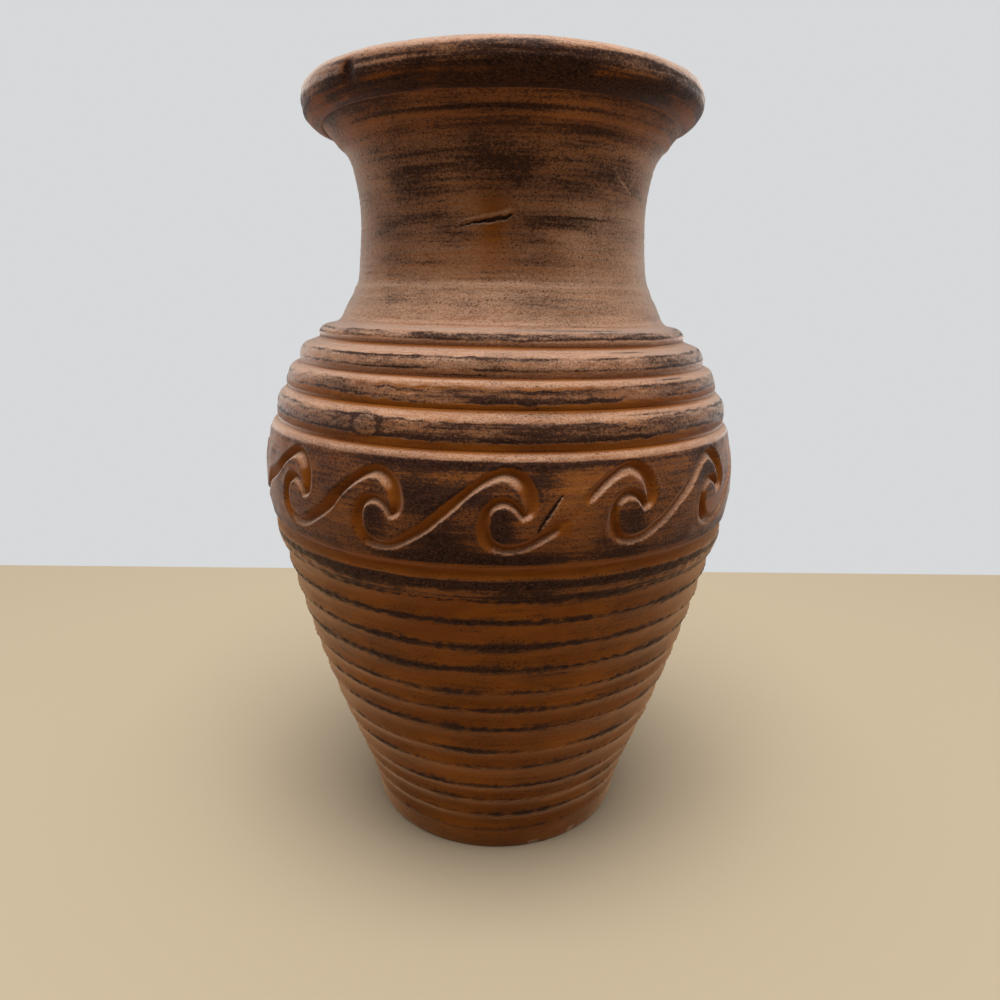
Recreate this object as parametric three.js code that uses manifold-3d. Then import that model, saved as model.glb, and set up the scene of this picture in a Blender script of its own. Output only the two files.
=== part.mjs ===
// Unglazed clay vase, built up from sections the way a potter joins one: a slab foot, a ribbed lower wall,
// a belly band with an incised running wave, stepped shoulder rings, a collar, a waisted neck and a rolled lip.
// Millimetres, +Z up. The origin is the middle of the underside of the foot, and -Y is the front.

import * as THREE from 'three';
import { mergeVertices } from 'three/addons/utils/BufferGeometryUtils.js';
import Module from 'manifold-3d';

const wasm = await Module();
wasm.setup();

// Facets around the vase
const FACETS = 44;

// Seams: at each seam the lower section has a tongue on its inner half, and the section above sits over it
const TONGUE = 2.5;
const FOOT_SEAM = 9.7;
const BAND_SEAM = 128.5;
const COLLAR_SEAM = 212;
const LIP_SEAM = 266.8;

// Smooth wall lines as [height, radius]
const BODY_LINE = [
  [0, 51.2], [13.6, 54.3], [40, 63.7], [80, 76.5], [109, 84.2], [124, 88], [136, 90.5], [149.9, 90.8],
  [161.5, 88.4],
];
const NECK_LINE = [
  [199.4, 61.6], [206, 58.6], [213, 55.1], [220, 53.9], [231, 53], [243, 53.2], [251, 54.5], [258.5, 57.5],
  [263.5, 62], [266.8, 64.6],
];
const INNER_LINE = [
  [9.7, 43.2], [20, 46.6], [40, 54], [80, 67.2], [109, 75], [128, 79.3], [145, 81.4], [160, 78.6],
  [175, 71.2], [185, 64], [193, 56.6], [200, 50.3], [208, 46.2], [220, 44.8], [235, 44.3], [250, 45.6],
  [260, 49.6], [272, 55],
];

// Rows of facets up the inside of each section
const LOWER_INNER_STEPS = 7;
const BAND_INNER_STEPS = 3;
const RING_INNER_STEPS = 2;
const COLLAR_INNER_STEPS = 2;
const NECK_INNER_STEPS = 5;

// Foot
const FOOT_BEVEL = 1.2;

// Lower wall: sharp rib crests with a shallow scallop between each pair, then one broad ridge below the band
const RIB_CRESTS = [FOOT_SEAM, 18.2, 26.7, 34.4, 45.1, 53.4, 64.4, 73.2, 81.2, 91.1, 100.5, 110.2, 118.5];
const SCALLOP_DEPTH = 0.8;
const SCALLOP_STEPS = 3;
const RIDGE_TOP = 125.7;
const RIDGE_BULGE = 0.5;
const RIDGE_STEPS = 3;
const GROOVE_RADIUS = 87.9;

// Belly band
const BAND_FACE_LOW = 131;
const BAND_FACE_HIGH = 161.5;
const BAND_STEPS = 3;
const BAND_EDGE = [163, 87.6];

// Running wave: a groove that leaves one curl and rolls in at the next, as [distance along the band, height].
// The first list counts its distances from the curl it leaves, the second from the curl it arrives at.
const WAVE_CURLS = 14;
const WAVE_RADIUS = 90.7;
const WAVE_FIRST_CURL = THREE.MathUtils.degToRad(1.3);
const WAVE_LEAVING = [
  [2.6, 149.4], [-1.2, 151], [-5.3, 149.2], [-7, 144.6], [-5.9, 139.6], [-2.2, 136.9], [2.2, 137], [8, 139],
  [13.6, 142.9], [18, 147],
];
const WAVE_ARRIVING = [
  [-16.5, 151.4], [-11, 155.4], [-5.5, 158], [-0.5, 158.9], [4, 157.4], [7, 153], [6.8, 148.8], [4.8, 146.6],
];
const WAVE_CUT_RADIUS = 2.3;
const WAVE_CUT_LIFT = 0.3;
const WAVE_CUT_SIDES = 5;
const WAVE_CUT_STEPS = 18;

// Shoulder, from the band up to the neck, as [height, radius]: the creases between the rings,
// and each ring's rounded face, which a sloping tread joins to the crease above
const SHOULDER_CREASES = [[164.4, 85.6], [176, 81.7], [184.9, 76.7], [193.7, 68.9], [199.4, 61.6]];
const RING_FACES = [
  [[167.4, 86.2], [169.8, 85.95], [171.8, 85.4], [173.8, 84.6]],
  [[177.6, 82.2], [179.6, 81.85], [181.7, 81.15], [183.4, 80.2]],
  [[186.4, 77.1], [188.2, 76.5], [190.3, 75.1], [192.2, 73.3]],
  [[194.6, 69.6], [195.9, 68.9], [197.1, 67.6], [198.3, 65.4]],
];

// Collar and neck
const COLLAR_STEPS = 3;
const NECK_STEPS = 9;

// Rolled lip: the widest line and the crown as [height, radius], and how far each curve's handles reach
const LIP_WIDEST = [274.1, 71.8];
const LIP_CROWN = [280, 63.8];
const MOUTH_EDGE = 272;
const LIP_UNDER_REACH = [4.4, 2.4];
const LIP_OVER_REACH = [3.7, 5.9];
const MOUTH_REACH = [4.9, 5.5];
const LIP_STEPS = 4;

// Clay colours and finish
const BARE_CLAY = { color: 0x8f5a37, roughness: 0.9, metalness: 0 };
const WASHED_CLAY = { color: 0x6b4430, roughness: 0.82, metalness: 0 };

const bodyRadius = lineThrough(BODY_LINE);
const neckRadius = lineThrough(NECK_LINE);
const innerRadius = lineThrough(INNER_LINE);

// Smooth radius as a function of height, through [height, radius] stations
function lineThrough(stations) {
  const heights = stations.map(([height]) => height);
  const radii = stations.map(([, radius]) => radius);
  const line = new THREE.CubicInterpolant(heights, radii, 1);
  return (height) => line.evaluate(height)[0];
}

function point(radius, height) {
  return new THREE.Vector2(radius, height);
}

// Evenly spaced values from low to high, both ends included
function spread(low, high, steps) {
  return Array.from({ length: steps + 1 }, (_, i) => low + (high - low) * i / steps);
}

// The stepped seam at a height, from its outer corner in over the tongue to the inner wall
function seam(height, outerRadius) {
  const middle = (outerRadius + innerRadius(height)) / 2;
  const top = height + TONGUE;
  return [
    point(outerRadius, height),
    point(middle, height),
    point(middle, top),
    point(innerRadius(top), top),
  ];
}

// Inner wall points from one seam's tongue down to another's, without the two ends
function innerWall(upperHeight, lowerHeight, steps) {
  const heights = spread(upperHeight + TONGUE, lowerHeight + TONGUE, steps).slice(1, -1);
  return heights.map((height) => point(innerRadius(height), height));
}

// A closed section: up the outside, over the upper seam, down the inside and back along the lower seam
function section(outside, lowerSeam, upperSeam, innerSteps) {
  const inside = innerWall(upperSeam[0].y, lowerSeam[0].y, innerSteps);
  return [...outside.slice(0, -1), ...upperSeam, ...inside, ...lowerSeam.toReversed()];
}

// Turn a closed profile of (radius, height) points about the vertical axis
function turned(profile) {
  const geometry = new THREE.LatheGeometry(profile, FACETS);
  return geometry.rotateX(Math.PI / 2);
}

function clayPiece(name, geometry, clay) {
  const mesh = new THREE.Mesh(geometry, new THREE.MeshStandardMaterial(clay));
  mesh.name = name;
  return mesh;
}

const floorTop = FOOT_SEAM + TONGUE;
const floorRadius = innerRadius(floorTop);
const footSeam = [
  point(bodyRadius(FOOT_SEAM), FOOT_SEAM),
  point(floorRadius, FOOT_SEAM),
  point(floorRadius, floorTop),
];
const bandSeam = seam(BAND_SEAM, GROOVE_RADIUS);
const shoulderSeams = SHOULDER_CREASES.map(([height, radius]) => seam(height, radius));
const collarSeam = seam(COLLAR_SEAM, neckRadius(COLLAR_SEAM));
const lipSeam = seam(LIP_SEAM, neckRadius(LIP_SEAM));

// Round slab that closes the bottom, with a boss that fills the inside of the lower wall
function footDisc() {
  const [rim, shoulder, bossEdge] = footSeam;
  const profile = [
    point(0, 0),
    point(bodyRadius(0) - FOOT_BEVEL, 0),
    point(bodyRadius(FOOT_BEVEL), FOOT_BEVEL),
    rim,
    shoulder,
    bossEdge,
    point(0, bossEdge.y),
  ];
  return clayPiece('foot_disc', turned(profile), BARE_CLAY);
}

// Flaring wall: a scallop between each pair of rib crests, the broad ridge, and the groove under the band
function lowerWall() {
  const outside = [];
  RIB_CRESTS.slice(0, -1).forEach((crest, i) => {
    const next = RIB_CRESTS[i + 1];
    for (let step = 0; step < SCALLOP_STEPS; step += 1) {
      const share = step / SCALLOP_STEPS;
      const height = crest + (next - crest) * share;
      const hollow = SCALLOP_DEPTH * 4 * share * (1 - share);
      outside.push(point(bodyRadius(height) - hollow, height));
    }
  });
  const ridgeFoot = RIB_CRESTS.at(-1);
  spread(ridgeFoot, RIDGE_TOP, RIDGE_STEPS).forEach((height, i) => {
    const bulge = RIDGE_BULGE * Math.sin(Math.PI * i / RIDGE_STEPS);
    outside.push(point(bodyRadius(height) + bulge, height));
  });
  outside.push(bandSeam[0]);
  return clayPiece('lower_wall', turned(section(outside, footSeam, bandSeam, LOWER_INNER_STEPS)), BARE_CLAY);
}

// Closed solid from a geometry, for cutting
function solidOf(geometry) {
  const bare = geometry.clone();
  bare.deleteAttribute('normal');
  bare.deleteAttribute('uv');
  const merged = mergeVertices(bare);
  const vertProperties = new Float32Array(merged.attributes.position.array);
  const triVerts = new Uint32Array(merged.index.array);
  return new wasm.Manifold(new wasm.Mesh({ numProp: 3, vertProperties, triVerts }));
}

function geometryOf(solid) {
  const { vertProperties, triVerts } = solid.getMesh();
  const geometry = new THREE.BufferGeometry();
  geometry.setAttribute('position', new THREE.BufferAttribute(vertProperties, 3));
  geometry.setIndex(new THREE.BufferAttribute(triVerts, 1));
  geometry.computeVertexNormals();
  return geometry;
}

// Round bar that follows the groove from one curl into the next, half sunk in the band's face
function waveCutter(index) {
  const pitch = 2 * Math.PI / WAVE_CURLS;
  const onBand = (curl) => ([along, height]) => {
    const angle = WAVE_FIRST_CURL + curl * pitch + along / WAVE_RADIUS;
    const radius = bodyRadius(height) + WAVE_CUT_LIFT;
    return new THREE.Vector3(radius * Math.sin(angle), -radius * Math.cos(angle), height);
  };
  const route = [...WAVE_LEAVING.map(onBand(index)), ...WAVE_ARRIVING.map(onBand(index + 1))];
  const corners = spread(0, 2 * Math.PI, WAVE_CUT_SIDES).slice(0, -1);
  const round = new THREE.Shape(
    corners.map((angle) => point(WAVE_CUT_RADIUS * Math.cos(angle), WAVE_CUT_RADIUS * Math.sin(angle))),
  );
  return new THREE.ExtrudeGeometry(round, {
    steps: WAVE_CUT_STEPS,
    bevelEnabled: false,
    extrudePath: new THREE.CatmullRomCurve3(route),
  });
}

// Belly band with the running wave cut into its face
function friezeBand() {
  const face = spread(BAND_FACE_LOW, BAND_FACE_HIGH, BAND_STEPS);
  const [edgeHeight, edgeRadius] = BAND_EDGE;
  const outside = [
    bandSeam[0],
    ...face.map((height) => point(bodyRadius(height), height)),
    point(edgeRadius, edgeHeight),
    shoulderSeams[0][0],
  ];
  let band = solidOf(turned(section(outside, bandSeam, shoulderSeams[0], BAND_INNER_STEPS)));
  for (let curl = 0; curl < WAVE_CURLS; curl += 1) {
    band = band.subtract(solidOf(waveCutter(curl)));
  }
  return clayPiece('frieze_band', geometryOf(band), WASHED_CLAY);
}

// One stepped ring: a slightly undercut riser, a rounded face and a tread that slopes in to the next crease
function shoulderRing(number, face, lowerSeam, upperSeam) {
  const facePoints = face.map(([height, radius]) => point(radius, height));
  const outside = [lowerSeam[0], ...facePoints, upperSeam[0]];
  const profile = section(outside, lowerSeam, upperSeam, RING_INNER_STEPS);
  return clayPiece(`shoulder_ring_${number}`, turned(profile), WASHED_CLAY);
}

// A stretch of the neck line between two seams
function neckStretch(name, lowerSeam, upperSeam, steps, innerSteps) {
  const heights = spread(lowerSeam[0].y, upperSeam[0].y, steps);
  const outside = heights.map((height) => point(neckRadius(height), height));
  return clayPiece(name, turned(section(outside, lowerSeam, upperSeam, innerSteps)), WASHED_CLAY);
}

// Conical collar that carries the neck on the top ring
function collar() {
  return neckStretch('collar', shoulderSeams.at(-1), collarSeam, COLLAR_STEPS, COLLAR_INNER_STEPS);
}

// Waisted neck from the collar up to the lip
function neck() {
  return neckStretch('neck', collarSeam, lipSeam, NECK_STEPS, NECK_INNER_STEPS);
}

// Rolled lip: out under the roll, over the crown and down into the mouth
function rimRoll() {
  const start = lipSeam[0];
  const widest = point(LIP_WIDEST[1], LIP_WIDEST[0]);
  const crown = point(LIP_CROWN[1], LIP_CROWN[0]);
  const mouth = point(innerRadius(MOUTH_EDGE), MOUTH_EDGE);
  const under = new THREE.CubicBezierCurve(
    start,
    point(start.x + LIP_UNDER_REACH[0], start.y),
    point(widest.x, widest.y - LIP_UNDER_REACH[1]),
    widest,
  );
  const over = new THREE.CubicBezierCurve(
    widest,
    point(widest.x, widest.y + LIP_OVER_REACH[0]),
    point(crown.x + LIP_OVER_REACH[1], crown.y),
    crown,
  );
  const inward = new THREE.CubicBezierCurve(
    crown,
    point(crown.x - MOUTH_REACH[0], crown.y),
    point(mouth.x, mouth.y + MOUTH_REACH[1]),
    mouth,
  );
  const profile = [
    ...under.getPoints(LIP_STEPS).slice(0, -1),
    ...over.getPoints(LIP_STEPS).slice(0, -1),
    ...inward.getPoints(LIP_STEPS),
    ...lipSeam.toReversed(),
  ];
  return clayPiece('rim_roll', turned(profile), WASHED_CLAY);
}

const group = new THREE.Group();
group.add(footDisc(), lowerWall(), friezeBand());
RING_FACES.forEach((face, step) => {
  const number = RING_FACES.length - step;
  group.add(shoulderRing(number, face, shoulderSeams[step], shoulderSeams[step + 1]));
});
group.add(collar(), neck(), rimRoll());

export default group;
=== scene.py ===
import math
from collections import namedtuple

import bpy
import numpy as np
from bpy.props import FloatProperty, FloatVectorProperty, PointerProperty
from bpy.types import NodeSocket, Operator, Panel, PropertyGroup
from mathutils import Matrix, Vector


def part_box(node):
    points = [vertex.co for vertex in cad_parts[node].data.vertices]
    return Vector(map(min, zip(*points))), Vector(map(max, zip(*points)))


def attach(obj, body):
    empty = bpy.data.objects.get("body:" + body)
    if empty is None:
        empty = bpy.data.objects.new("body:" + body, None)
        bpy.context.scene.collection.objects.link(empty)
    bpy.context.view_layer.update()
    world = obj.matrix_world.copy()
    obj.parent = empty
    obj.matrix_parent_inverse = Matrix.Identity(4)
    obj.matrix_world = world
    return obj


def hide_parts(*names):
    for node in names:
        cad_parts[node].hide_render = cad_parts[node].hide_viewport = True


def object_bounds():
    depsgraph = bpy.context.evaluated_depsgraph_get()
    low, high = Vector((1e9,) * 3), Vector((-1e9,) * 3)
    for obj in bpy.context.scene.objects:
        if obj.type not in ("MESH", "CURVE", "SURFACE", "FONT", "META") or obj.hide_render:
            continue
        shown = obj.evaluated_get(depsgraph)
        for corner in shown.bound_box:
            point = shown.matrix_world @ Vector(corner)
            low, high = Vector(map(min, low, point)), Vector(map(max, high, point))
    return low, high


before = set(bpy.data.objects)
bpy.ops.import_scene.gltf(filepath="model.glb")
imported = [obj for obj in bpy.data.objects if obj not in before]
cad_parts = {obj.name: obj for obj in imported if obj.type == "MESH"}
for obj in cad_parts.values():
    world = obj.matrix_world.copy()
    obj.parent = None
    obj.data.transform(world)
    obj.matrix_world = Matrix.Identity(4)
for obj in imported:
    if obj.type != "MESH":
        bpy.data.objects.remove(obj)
CAD_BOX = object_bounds()

bl_info = {
    "name": "Clay Vase",
    "version": (1, 0, 0),
    "blender": (4, 5, 0),
    "location": "View3D > Sidebar > Clay Vase",
    "description": "Fired and dry-brushed surface of a thrown clay vase, one piece for each of its sections",
    "category": "Add Mesh",
}

# Lengths below are in millimetres unless a comment says otherwise, and meshes are made in metres
MM = 0.001


def underside(node):
    """Height of a packed section's lowest point, which is its seam with the section below."""
    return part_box(node)[0].z / MM


def topside(node):
    """Height of a packed section's highest point."""
    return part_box(node)[1].z / MM


# Seams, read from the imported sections
RING_NODES = ["shoulder_ring_4", "shoulder_ring_3", "shoulder_ring_2", "shoulder_ring_1"]
FOOT_SEAM = underside("lower_wall")
BAND_SEAM = underside("frieze_band")
RING_SEAMS = [underside(node) for node in RING_NODES + ["collar"]]
COLLAR_SEAM = underside("neck")
LIP_SEAM = underside("rim_roll")
FLOOR_TOP = topside("foot_disc")
LIP_TOP = topside("rim_roll")
TONGUE = FLOOR_TOP - FOOT_SEAM

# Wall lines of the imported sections, as (height, radius) stations
BODY_STATIONS = [
    (0, 51.2), (13.6, 54.3), (40, 63.7), (80, 76.5), (109, 84.2), (124, 88), (136, 90.5), (149.9, 90.8),
    (161.5, 88.4),
]
NECK_STATIONS = [
    (199.4, 61.6), (206, 58.6), (213, 55.1), (220, 53.9), (231, 53), (243, 53.2), (251, 54.5), (258.5, 57.5),
    (263.5, 62), (266.8, 64.6),
]
INNER_STATIONS = [
    (9.7, 43.2), (20, 46.6), (40, 54), (80, 67.2), (109, 75), (128, 79.3), (145, 81.4), (160, 78.6),
    (175, 71.2), (185, 64), (193, 56.6), (200, 50.3), (208, 46.2), (220, 44.8), (235, 44.3), (250, 45.6),
    (260, 49.6), (272, 55),
]

# Foot: rows over its underside, round its bevel, up its side and over its floor, and chips in its edge
FOOT_BEVEL = 1.2
UNDERSIDE_ROWS = 24
BEVEL_ROWS = 7
FOOT_SIDE_ROWS = 18
FLOOR_ROWS = 26
FOOT_COLUMNS = 480
FOOT_CHIPS = [(14.9, 0.8, 2, 1), (32, 1.6, 1.6, 1.2)]
CHIP_DEPTH = 0.5

# Lower wall: rib crests from the foot up, how firmly the brush caught each, the width of its dark lines there
# with their wander and least width, how far they are torn, how far below them second lines run, the thin wash
# in between, and the broad ridge above the ribs with the groove over it
RIB_CRESTS = [FOOT_SEAM, 18.2, 26.7, 34.4, 45.1, 53.4, 64.4, 73.2, 81.2, 91.1, 100.5, 110.2, 118.5]
RIB_PAINT = [0.4, 0.45, 0.55, 0.6, 0.6, 0.6, 0.7, 0.75, 0.9, 1, 1, 1, 0.9]
RIB_LINE_WIDTH = 1.35
RIB_LINE_WANDER = 0.8
RIB_LINE_LEAST = 0.5
RIB_LINE_TEAR = 0.5
SECOND_LINE_DROP = 2.6
WALL_WASH = 0.12
SCALLOP_POWER = 1.6
SCALLOP_ROWS = 11
RIDGE_TOP = 125.7
RIDGE_BULGE = 0.5
RIDGE_WASH = 0.4
RIDGE_ROWS = 14
GROOVE_RADIUS = 87.9
GROOVE_ROWS = 6
LOWER_INNER_ROWS = 20
LOWER_COLUMNS = 560

# Belly band, whose relief stays inside the solid's widest line by a margin
BOX_MARGIN = 0.06
BAND_FACE_LOW = 131
BAND_FACE_HIGH = 161.5
BAND_EDGE = (163, 87.6)
BAND_FACE_ROWS = 60
BAND_EDGE_ROWS = 9
BAND_INNER_ROWS = 8
BAND_COLUMNS = 1140

# Wash of the band, and where the brush left more or less of it on the front: spots with a strength
BAND_WASH = 0.35
BAND_MARKS = [
    (-26, 153, 8, 5, 0.6), (-18, 149, 7, 5, 0.6), (-18, 139, 10, 4, 0.6), (-40, 142, 5, 6, 0.6),
    (0, 143, 5, 6, 0.8), (-9, 152, 6, 4, 0.5), (-15, 133, 22, 2.4, 0.5), (7, 132.5, 12, 2, 0.4),
    (22, 146, 9, 12, -0.14), (13, 157, 7, 5, 0.4), (11, 149, 6, 6, 0.2), (-15, 161, 24, 1.6, 0.5),
    (30, 161, 40, 1.2, 0.35), (-62, 155, 5, 5, 0.12), (-70, 142, 4, 6, 0.1), (-40, 155, 5, 4, 0.2),
    (44, 142, 5, 5, 0.4), (78, 157, 9, 5, 0.35), (-64, 138, 16, 5, -0.12), (45, 133, 16, 2, 0.2),
    (60, 147, 20, 12, 0.12),
]

# Running wave: stations of one groove as (distance along the band, height, width to the left of its line,
# width to the right). The groove leaves one curl and rolls in at the next, and the two lists count their
# distances from those two curls.
WAVE_CURLS = 14
WAVE_RADIUS = 90.7
WAVE_FIRST_CURL = math.radians(1.3)
WAVE_LEAVING = [
    (4.6, 146.6, 1.6, 1.5), (2.4, 149.6, 1.9, 1.6), (-1, 151.2, 2.2, 1.8), (-5, 149.4, 2, 2.4),
    (-6.8, 145, 2.1, 2.8), (-5.9, 140, 2, 3.6), (-2.8, 136.8, 2.3, 2.2), (1.5, 135.9, 2.8, 1.3),
    (6.5, 137.2, 2.8, 1.2), (11, 139.6, 3.2, 1.2), (15.3, 142.2, 3.4, 1.2), (19.3, 145.4, 3.6, 1.2),
]
WAVE_ARRIVING = [
    (-15, 150.3, 3, 1.3), (-10, 155, 2, 1.8), (-5, 158.3, 1.7, 2.4), (0, 159.8, 1.7, 3.6),
    (3.5, 158.2, 2.2, 4), (5.6, 155.6, 2.8, 3.6), (6.5, 152.4, 3.2, 3), (6.6, 149.4, 3.2, 2.2),
    (5.9, 147.2, 2.2, 1.8), (4.6, 146.4, 1.6, 1.5),
]

# How far either way of its middle a groove is worked out, and samples along its line
WAVE_REACH = 34
ROUTE_SAMPLES = 260

# Curls that the hand set a little off their place, by curl number: (along the band, up), and how far off each
# of the others may be
CURL_SHIFTS = {-2: (3.7, -0.3), -1: (0.4, -1.5), 1: (0.2, 0.3), 2: (0, 0)}
CURL_JITTER = 0.7

# The one smeared link: which curl it leaves, the share of the groove that is filled, its slit and its lump
SMEARED_CURL = 0
SMEAR_SPAN = (0.47, 0.66)
SMEAR_EDGE = 0.06
SMEAR_FILL = 0.93
SLIT_ROUTE = [(9.8, 142, 0.6, 0.8), (12.2, 145.6, 0.9, 1), (14.6, 149, 0.9, 0.9), (16.8, 152.2, 0.4, 0.4)]
SLIT_DEPTH = 1
LUMP = (17.6, 142.2, 2.2, 1.6)
LUMP_HEIGHT = 0.7

# Burr thrown up beside the grooves, with its place and width in widths of the groove
BURR_HEIGHT = 0.14
BURR_PLACE = 1.12
BURR_WIDTH = 0.22

# Shoulder rings, lowest first: creases as (height, radius), and four points up each ring's face
SHOULDER_CREASES = list(zip(RING_SEAMS, [85.6, 81.7, 76.7, 68.9, 61.6]))
RING_FACES = [
    [(167.4, 86.2), (169.8, 86), (171.8, 85.6), (173.4, 84.7)],
    [(177.6, 82.2), (179.6, 81.85), (181.7, 81.15), (183.4, 80.2)],
    [(187, 77.1), (189.4, 76.5), (191.2, 75.2), (192, 73.6)],
    [(195.3, 69.6), (196.7, 69), (197.9, 67.7), (198.6, 65.4)],
]
RING_ROWS = 46
RING_INNER_ROWS = 5
RING_COLUMNS = 720

# Paint of each ring: the heights between which its nose is painted, how far these climb towards the sides,
# the strength of the wash and of the line along its upper edge, the width and the wander of its two lines,
# how dusty its nose is, and how far painted light lifts its riser out of its shade
RING_PAINT = [(166.9, 172.8), (178, 182.2), (186.9, 191.1), (195.7, 198.1)]
PAINT_CLIMB = [1.2, 1, 0.5, 0.3]
RING_WASH = [0.46, 0.46, 0.42, 0.36]
TOP_LINES = [0.15, 0.15, 0.28, 0.2]
LINE_WIDTHS = [0.6, 0.6, 0.4, 0.4]
LINE_WANDER = [0.3, 0.3, 0.15, 0.15]
NOSE_CHALK = [0.35, 0.35, 0.55, 0.4]
RISER_PAINTED_LIGHT = [0, 0, 0.35, 0.7]

# Marks of the brush on each ring's nose, and strays on its riser and tread: spots with a strength
RING_MARKS = [
    [(-27, 168.6, 10, 1.2, 0.5), (-2, 170.4, 9, 1.2, -0.3), (30, 168, 14, 1, 0.3)],
    [(20, 178.6, 20, 0.9, 0.5), (-46, 181.5, 16, 1.4, -0.15), (55, 181, 16, 1.2, -0.1)],
    [
        (2, 188.8, 24, 1.5, -0.28), (-45, 188.2, 18, 1.2, -0.1), (-50, 190.8, 20, 0.7, 0.3),
        (50, 188, 18, 1.2, -0.15), (66, 189, 9, 1.4, 0.3),
    ],
    [(-16, 196.6, 16, 0.9, 0.25), (32, 196.8, 28, 0.7, 0.15)],
]
RING_STRAYS = [
    [(50, 174.4, 12, 0.3, 0.5)],
    [(62, 184, 9, 0.3, 0.5)],
    [(-15, 185.8, 13, 0.35, 0.8), (45, 192.3, 9, 0.25, 0.7)],
    [(30, 198.7, 20, 0.2, 0.6)],
]

# Coves at the creases, from the band's upwards: how far the clay in them reaches, how thick it is, how far
# from them painted shade darkens the tread, and how much of its paleness that shade takes off
COVE_REACH = 1.2
COVE_FILLS = [0.35, 0.35, 0.1, 0.3, 0.5]
COVE_SHADE_REACH = [1.6, 1.6, 2.6, 3, 0.5]
COVE_SHADE_LOSS = 1.2

# Pellet of clay stuck on the lowest ring: (distance round, height, half width, half height)
PELLET = (-43, 170.3, 4.2, 2.8)
PELLET_HEIGHT = 0.75

# Collar and neck, with a low bead along the seam between them and another under the lip, and the line of the
# collar's streaks
BEAD_LINE = 211.6
TOP_BEAD_LINE = 261.4
BEAD_WIDTH = 0.8
BEAD_RISE = 0.3
STREAK_LINE = 207.5
COLLAR_WASH = 0.1
COLLAR_CHALK = 0.85
COLLAR_ROWS = 34
COLLAR_INNER_ROWS = 6
NECK_ROWS = 150
NECK_INNER_ROWS = 22
NECK_COLUMNS = 560
NECK_WAIST = 231
FLARE_START = 254

# Paint of the neck: its wash as (height, strength), marks of the brush as spots with a strength, the bare
# place round the crack, how dusty it is all over, and the heights below which it is paler towards its foot,
# and below which its right and its sides are painted paler as light, a painted sheen
NECK_WASH = [
    (212, 0.22), (216, 0.14), (224, 0.18), (229, 0.32), (233, 0.4), (236, 0.34), (240, 0.46), (248, 0.56),
    (254, 0.5), (258, 0.44), (262, 0.42), (266.8, 0.48),
]
NECK_MARKS = [
    (-26, 247.7, 14, 1, 0.25), (-36, 232, 12, 1.2, 0.25), (19, 230.8, 13, 1.9, 0.3),
    (12, 225.6, 10, 0.8, 0.25), (-24, 219, 10, 1.4, 0.25), (14, 219.5, 10, 1.6, 0.25),
    (-7, 214.2, 16, 0.5, 0.4), (0, 262.9, 38, 0.45, 0.7), (30, 238, 14, 3, -0.1), (-30, 265, 14, 0.6, 0.3),
    (-32, 247, 13, 6, -0.14), (28, 233.3, 12, 0.5, 0.3),
]
NECK_BARE = (-2.5, 231, 6, 12)
NECK_CHALK = 0.4
FOOT_PALE_TOP = 217
RIGHT_LIGHT_TOP = 245
SIDE_SHEEN_TOP = 262

# Crack in the neck with its raised edge above it, and a scratch: routes like the wave's
CRACK_ROUTE = [
    (-14, 230.1, 0.3, 0.3), (-10, 231, 0.4, 0.4), (-6.4, 231.6, 0.6, 1.1), (-2.5, 232.4, 0.7, 1.8),
    (1.2, 233.2, 0.7, 1.6), (3, 233.8, 0.5, 0.9),
]
CRACK_DEPTH = 1.1
FLAP_RISE = 1.4
FLAP_HEIGHT = 0.3
SCRATCH_ROUTE = [(40.8, 247.2, 0.4, 0.4), (45.3, 245, 0.5, 0.5), (49.8, 242.8, 0.4, 0.4)]
SCRATCH_DEPTH = 0.3

# Rolled lip: its widest line and crown as (height, radius), how far the curves' handles reach, its pit and
# sag as spots, the height below which the roll faces down and its wash is thickened as painted shade, and
# the height above which its crown is rubbed pale
LIP_WIDEST = (274.1, 71.8)
LIP_CROWN = (LIP_TOP, 63.8)
MOUTH_EDGE = 272
LIP_UNDER_REACH = (4.4, 2.4)
LIP_OVER_REACH = (3.7, 5.9)
MOUTH_REACH = (4.9, 5.5)
LIP_ROWS = (24, 32, 26)
LIP_INNER_ROWS = 3
LIP_COLUMNS = 720
LIP_PIT = (-50.2, 273.4, 2.3, 2.6)
LIP_PIT_DEPTH = 1.2
LIP_SAG = (-112, 268.5, 45, 2.6)
LIP_SAG_DEPTH = 0.9
LIP_WASH = 0.76
LIP_UNDERSIDE = 270
CROWN_EDGE = 276.5

# The potter's unevenness: where the belly and the middle of the ribs are, how far the rings lean down on the
# right and the neck stands to the right of the axis, each between two heights, and over what height the
# foot and the crown hold still
BELLY = 145
RIBS_MIDDLE = 65
SHOULDER_LEAN = 0.5
LEAN_SPAN = (150, 215)
NECK_SHIFT = 0.5
SHIFT_SPAN = (155, 268)
STILL_FOOT = 14
STILL_CROWN = 9

# How pale clay is made where it faces up, partly rubbed and partly a painted highlight of the light overhead,
# and from which slope on, how dusty it is inside, and where round the vase its sides begin, by the sine of
# the angle, where the brush caught less and clay is painted paler as light
RUBBED_AND_LIT_SHARE = 0.82
RUBBED_AND_LIT_FROM = 0.35
RUBBED_AND_LIT_SPAN = 0.4
INSIDE_CHALK = 0.2
SIDES_FROM = 0.55
SIDES_SPAN = 0.4

# Finger rings inside the wall
THROWING_PITCH = 7.5
THROWING_DEPTH = 0.35
THROWING_RIPPLE = 0.15

# Noises of the material: features per metre in three directions, detail and roughness
STREAKS = ((48, 48, 950), 5, 0.62)
PATCHES = ((45, 45, 90), 3, 0.55)
SPECKS = ((850, 850, 1200), 3, 0.7)
FLECKS = ((1500, 1500, 2000), 2, 0.6)
WEAR = ((1200, 1200, 1700), 2, 0.6)
CLOUDS = ((38, 38, 60), 4, 0.55)
GRAIN = ((1500, 1500, 1500), 3, 0.65)
LINES = ((20, 20, 420), 4, 0.55)

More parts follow.
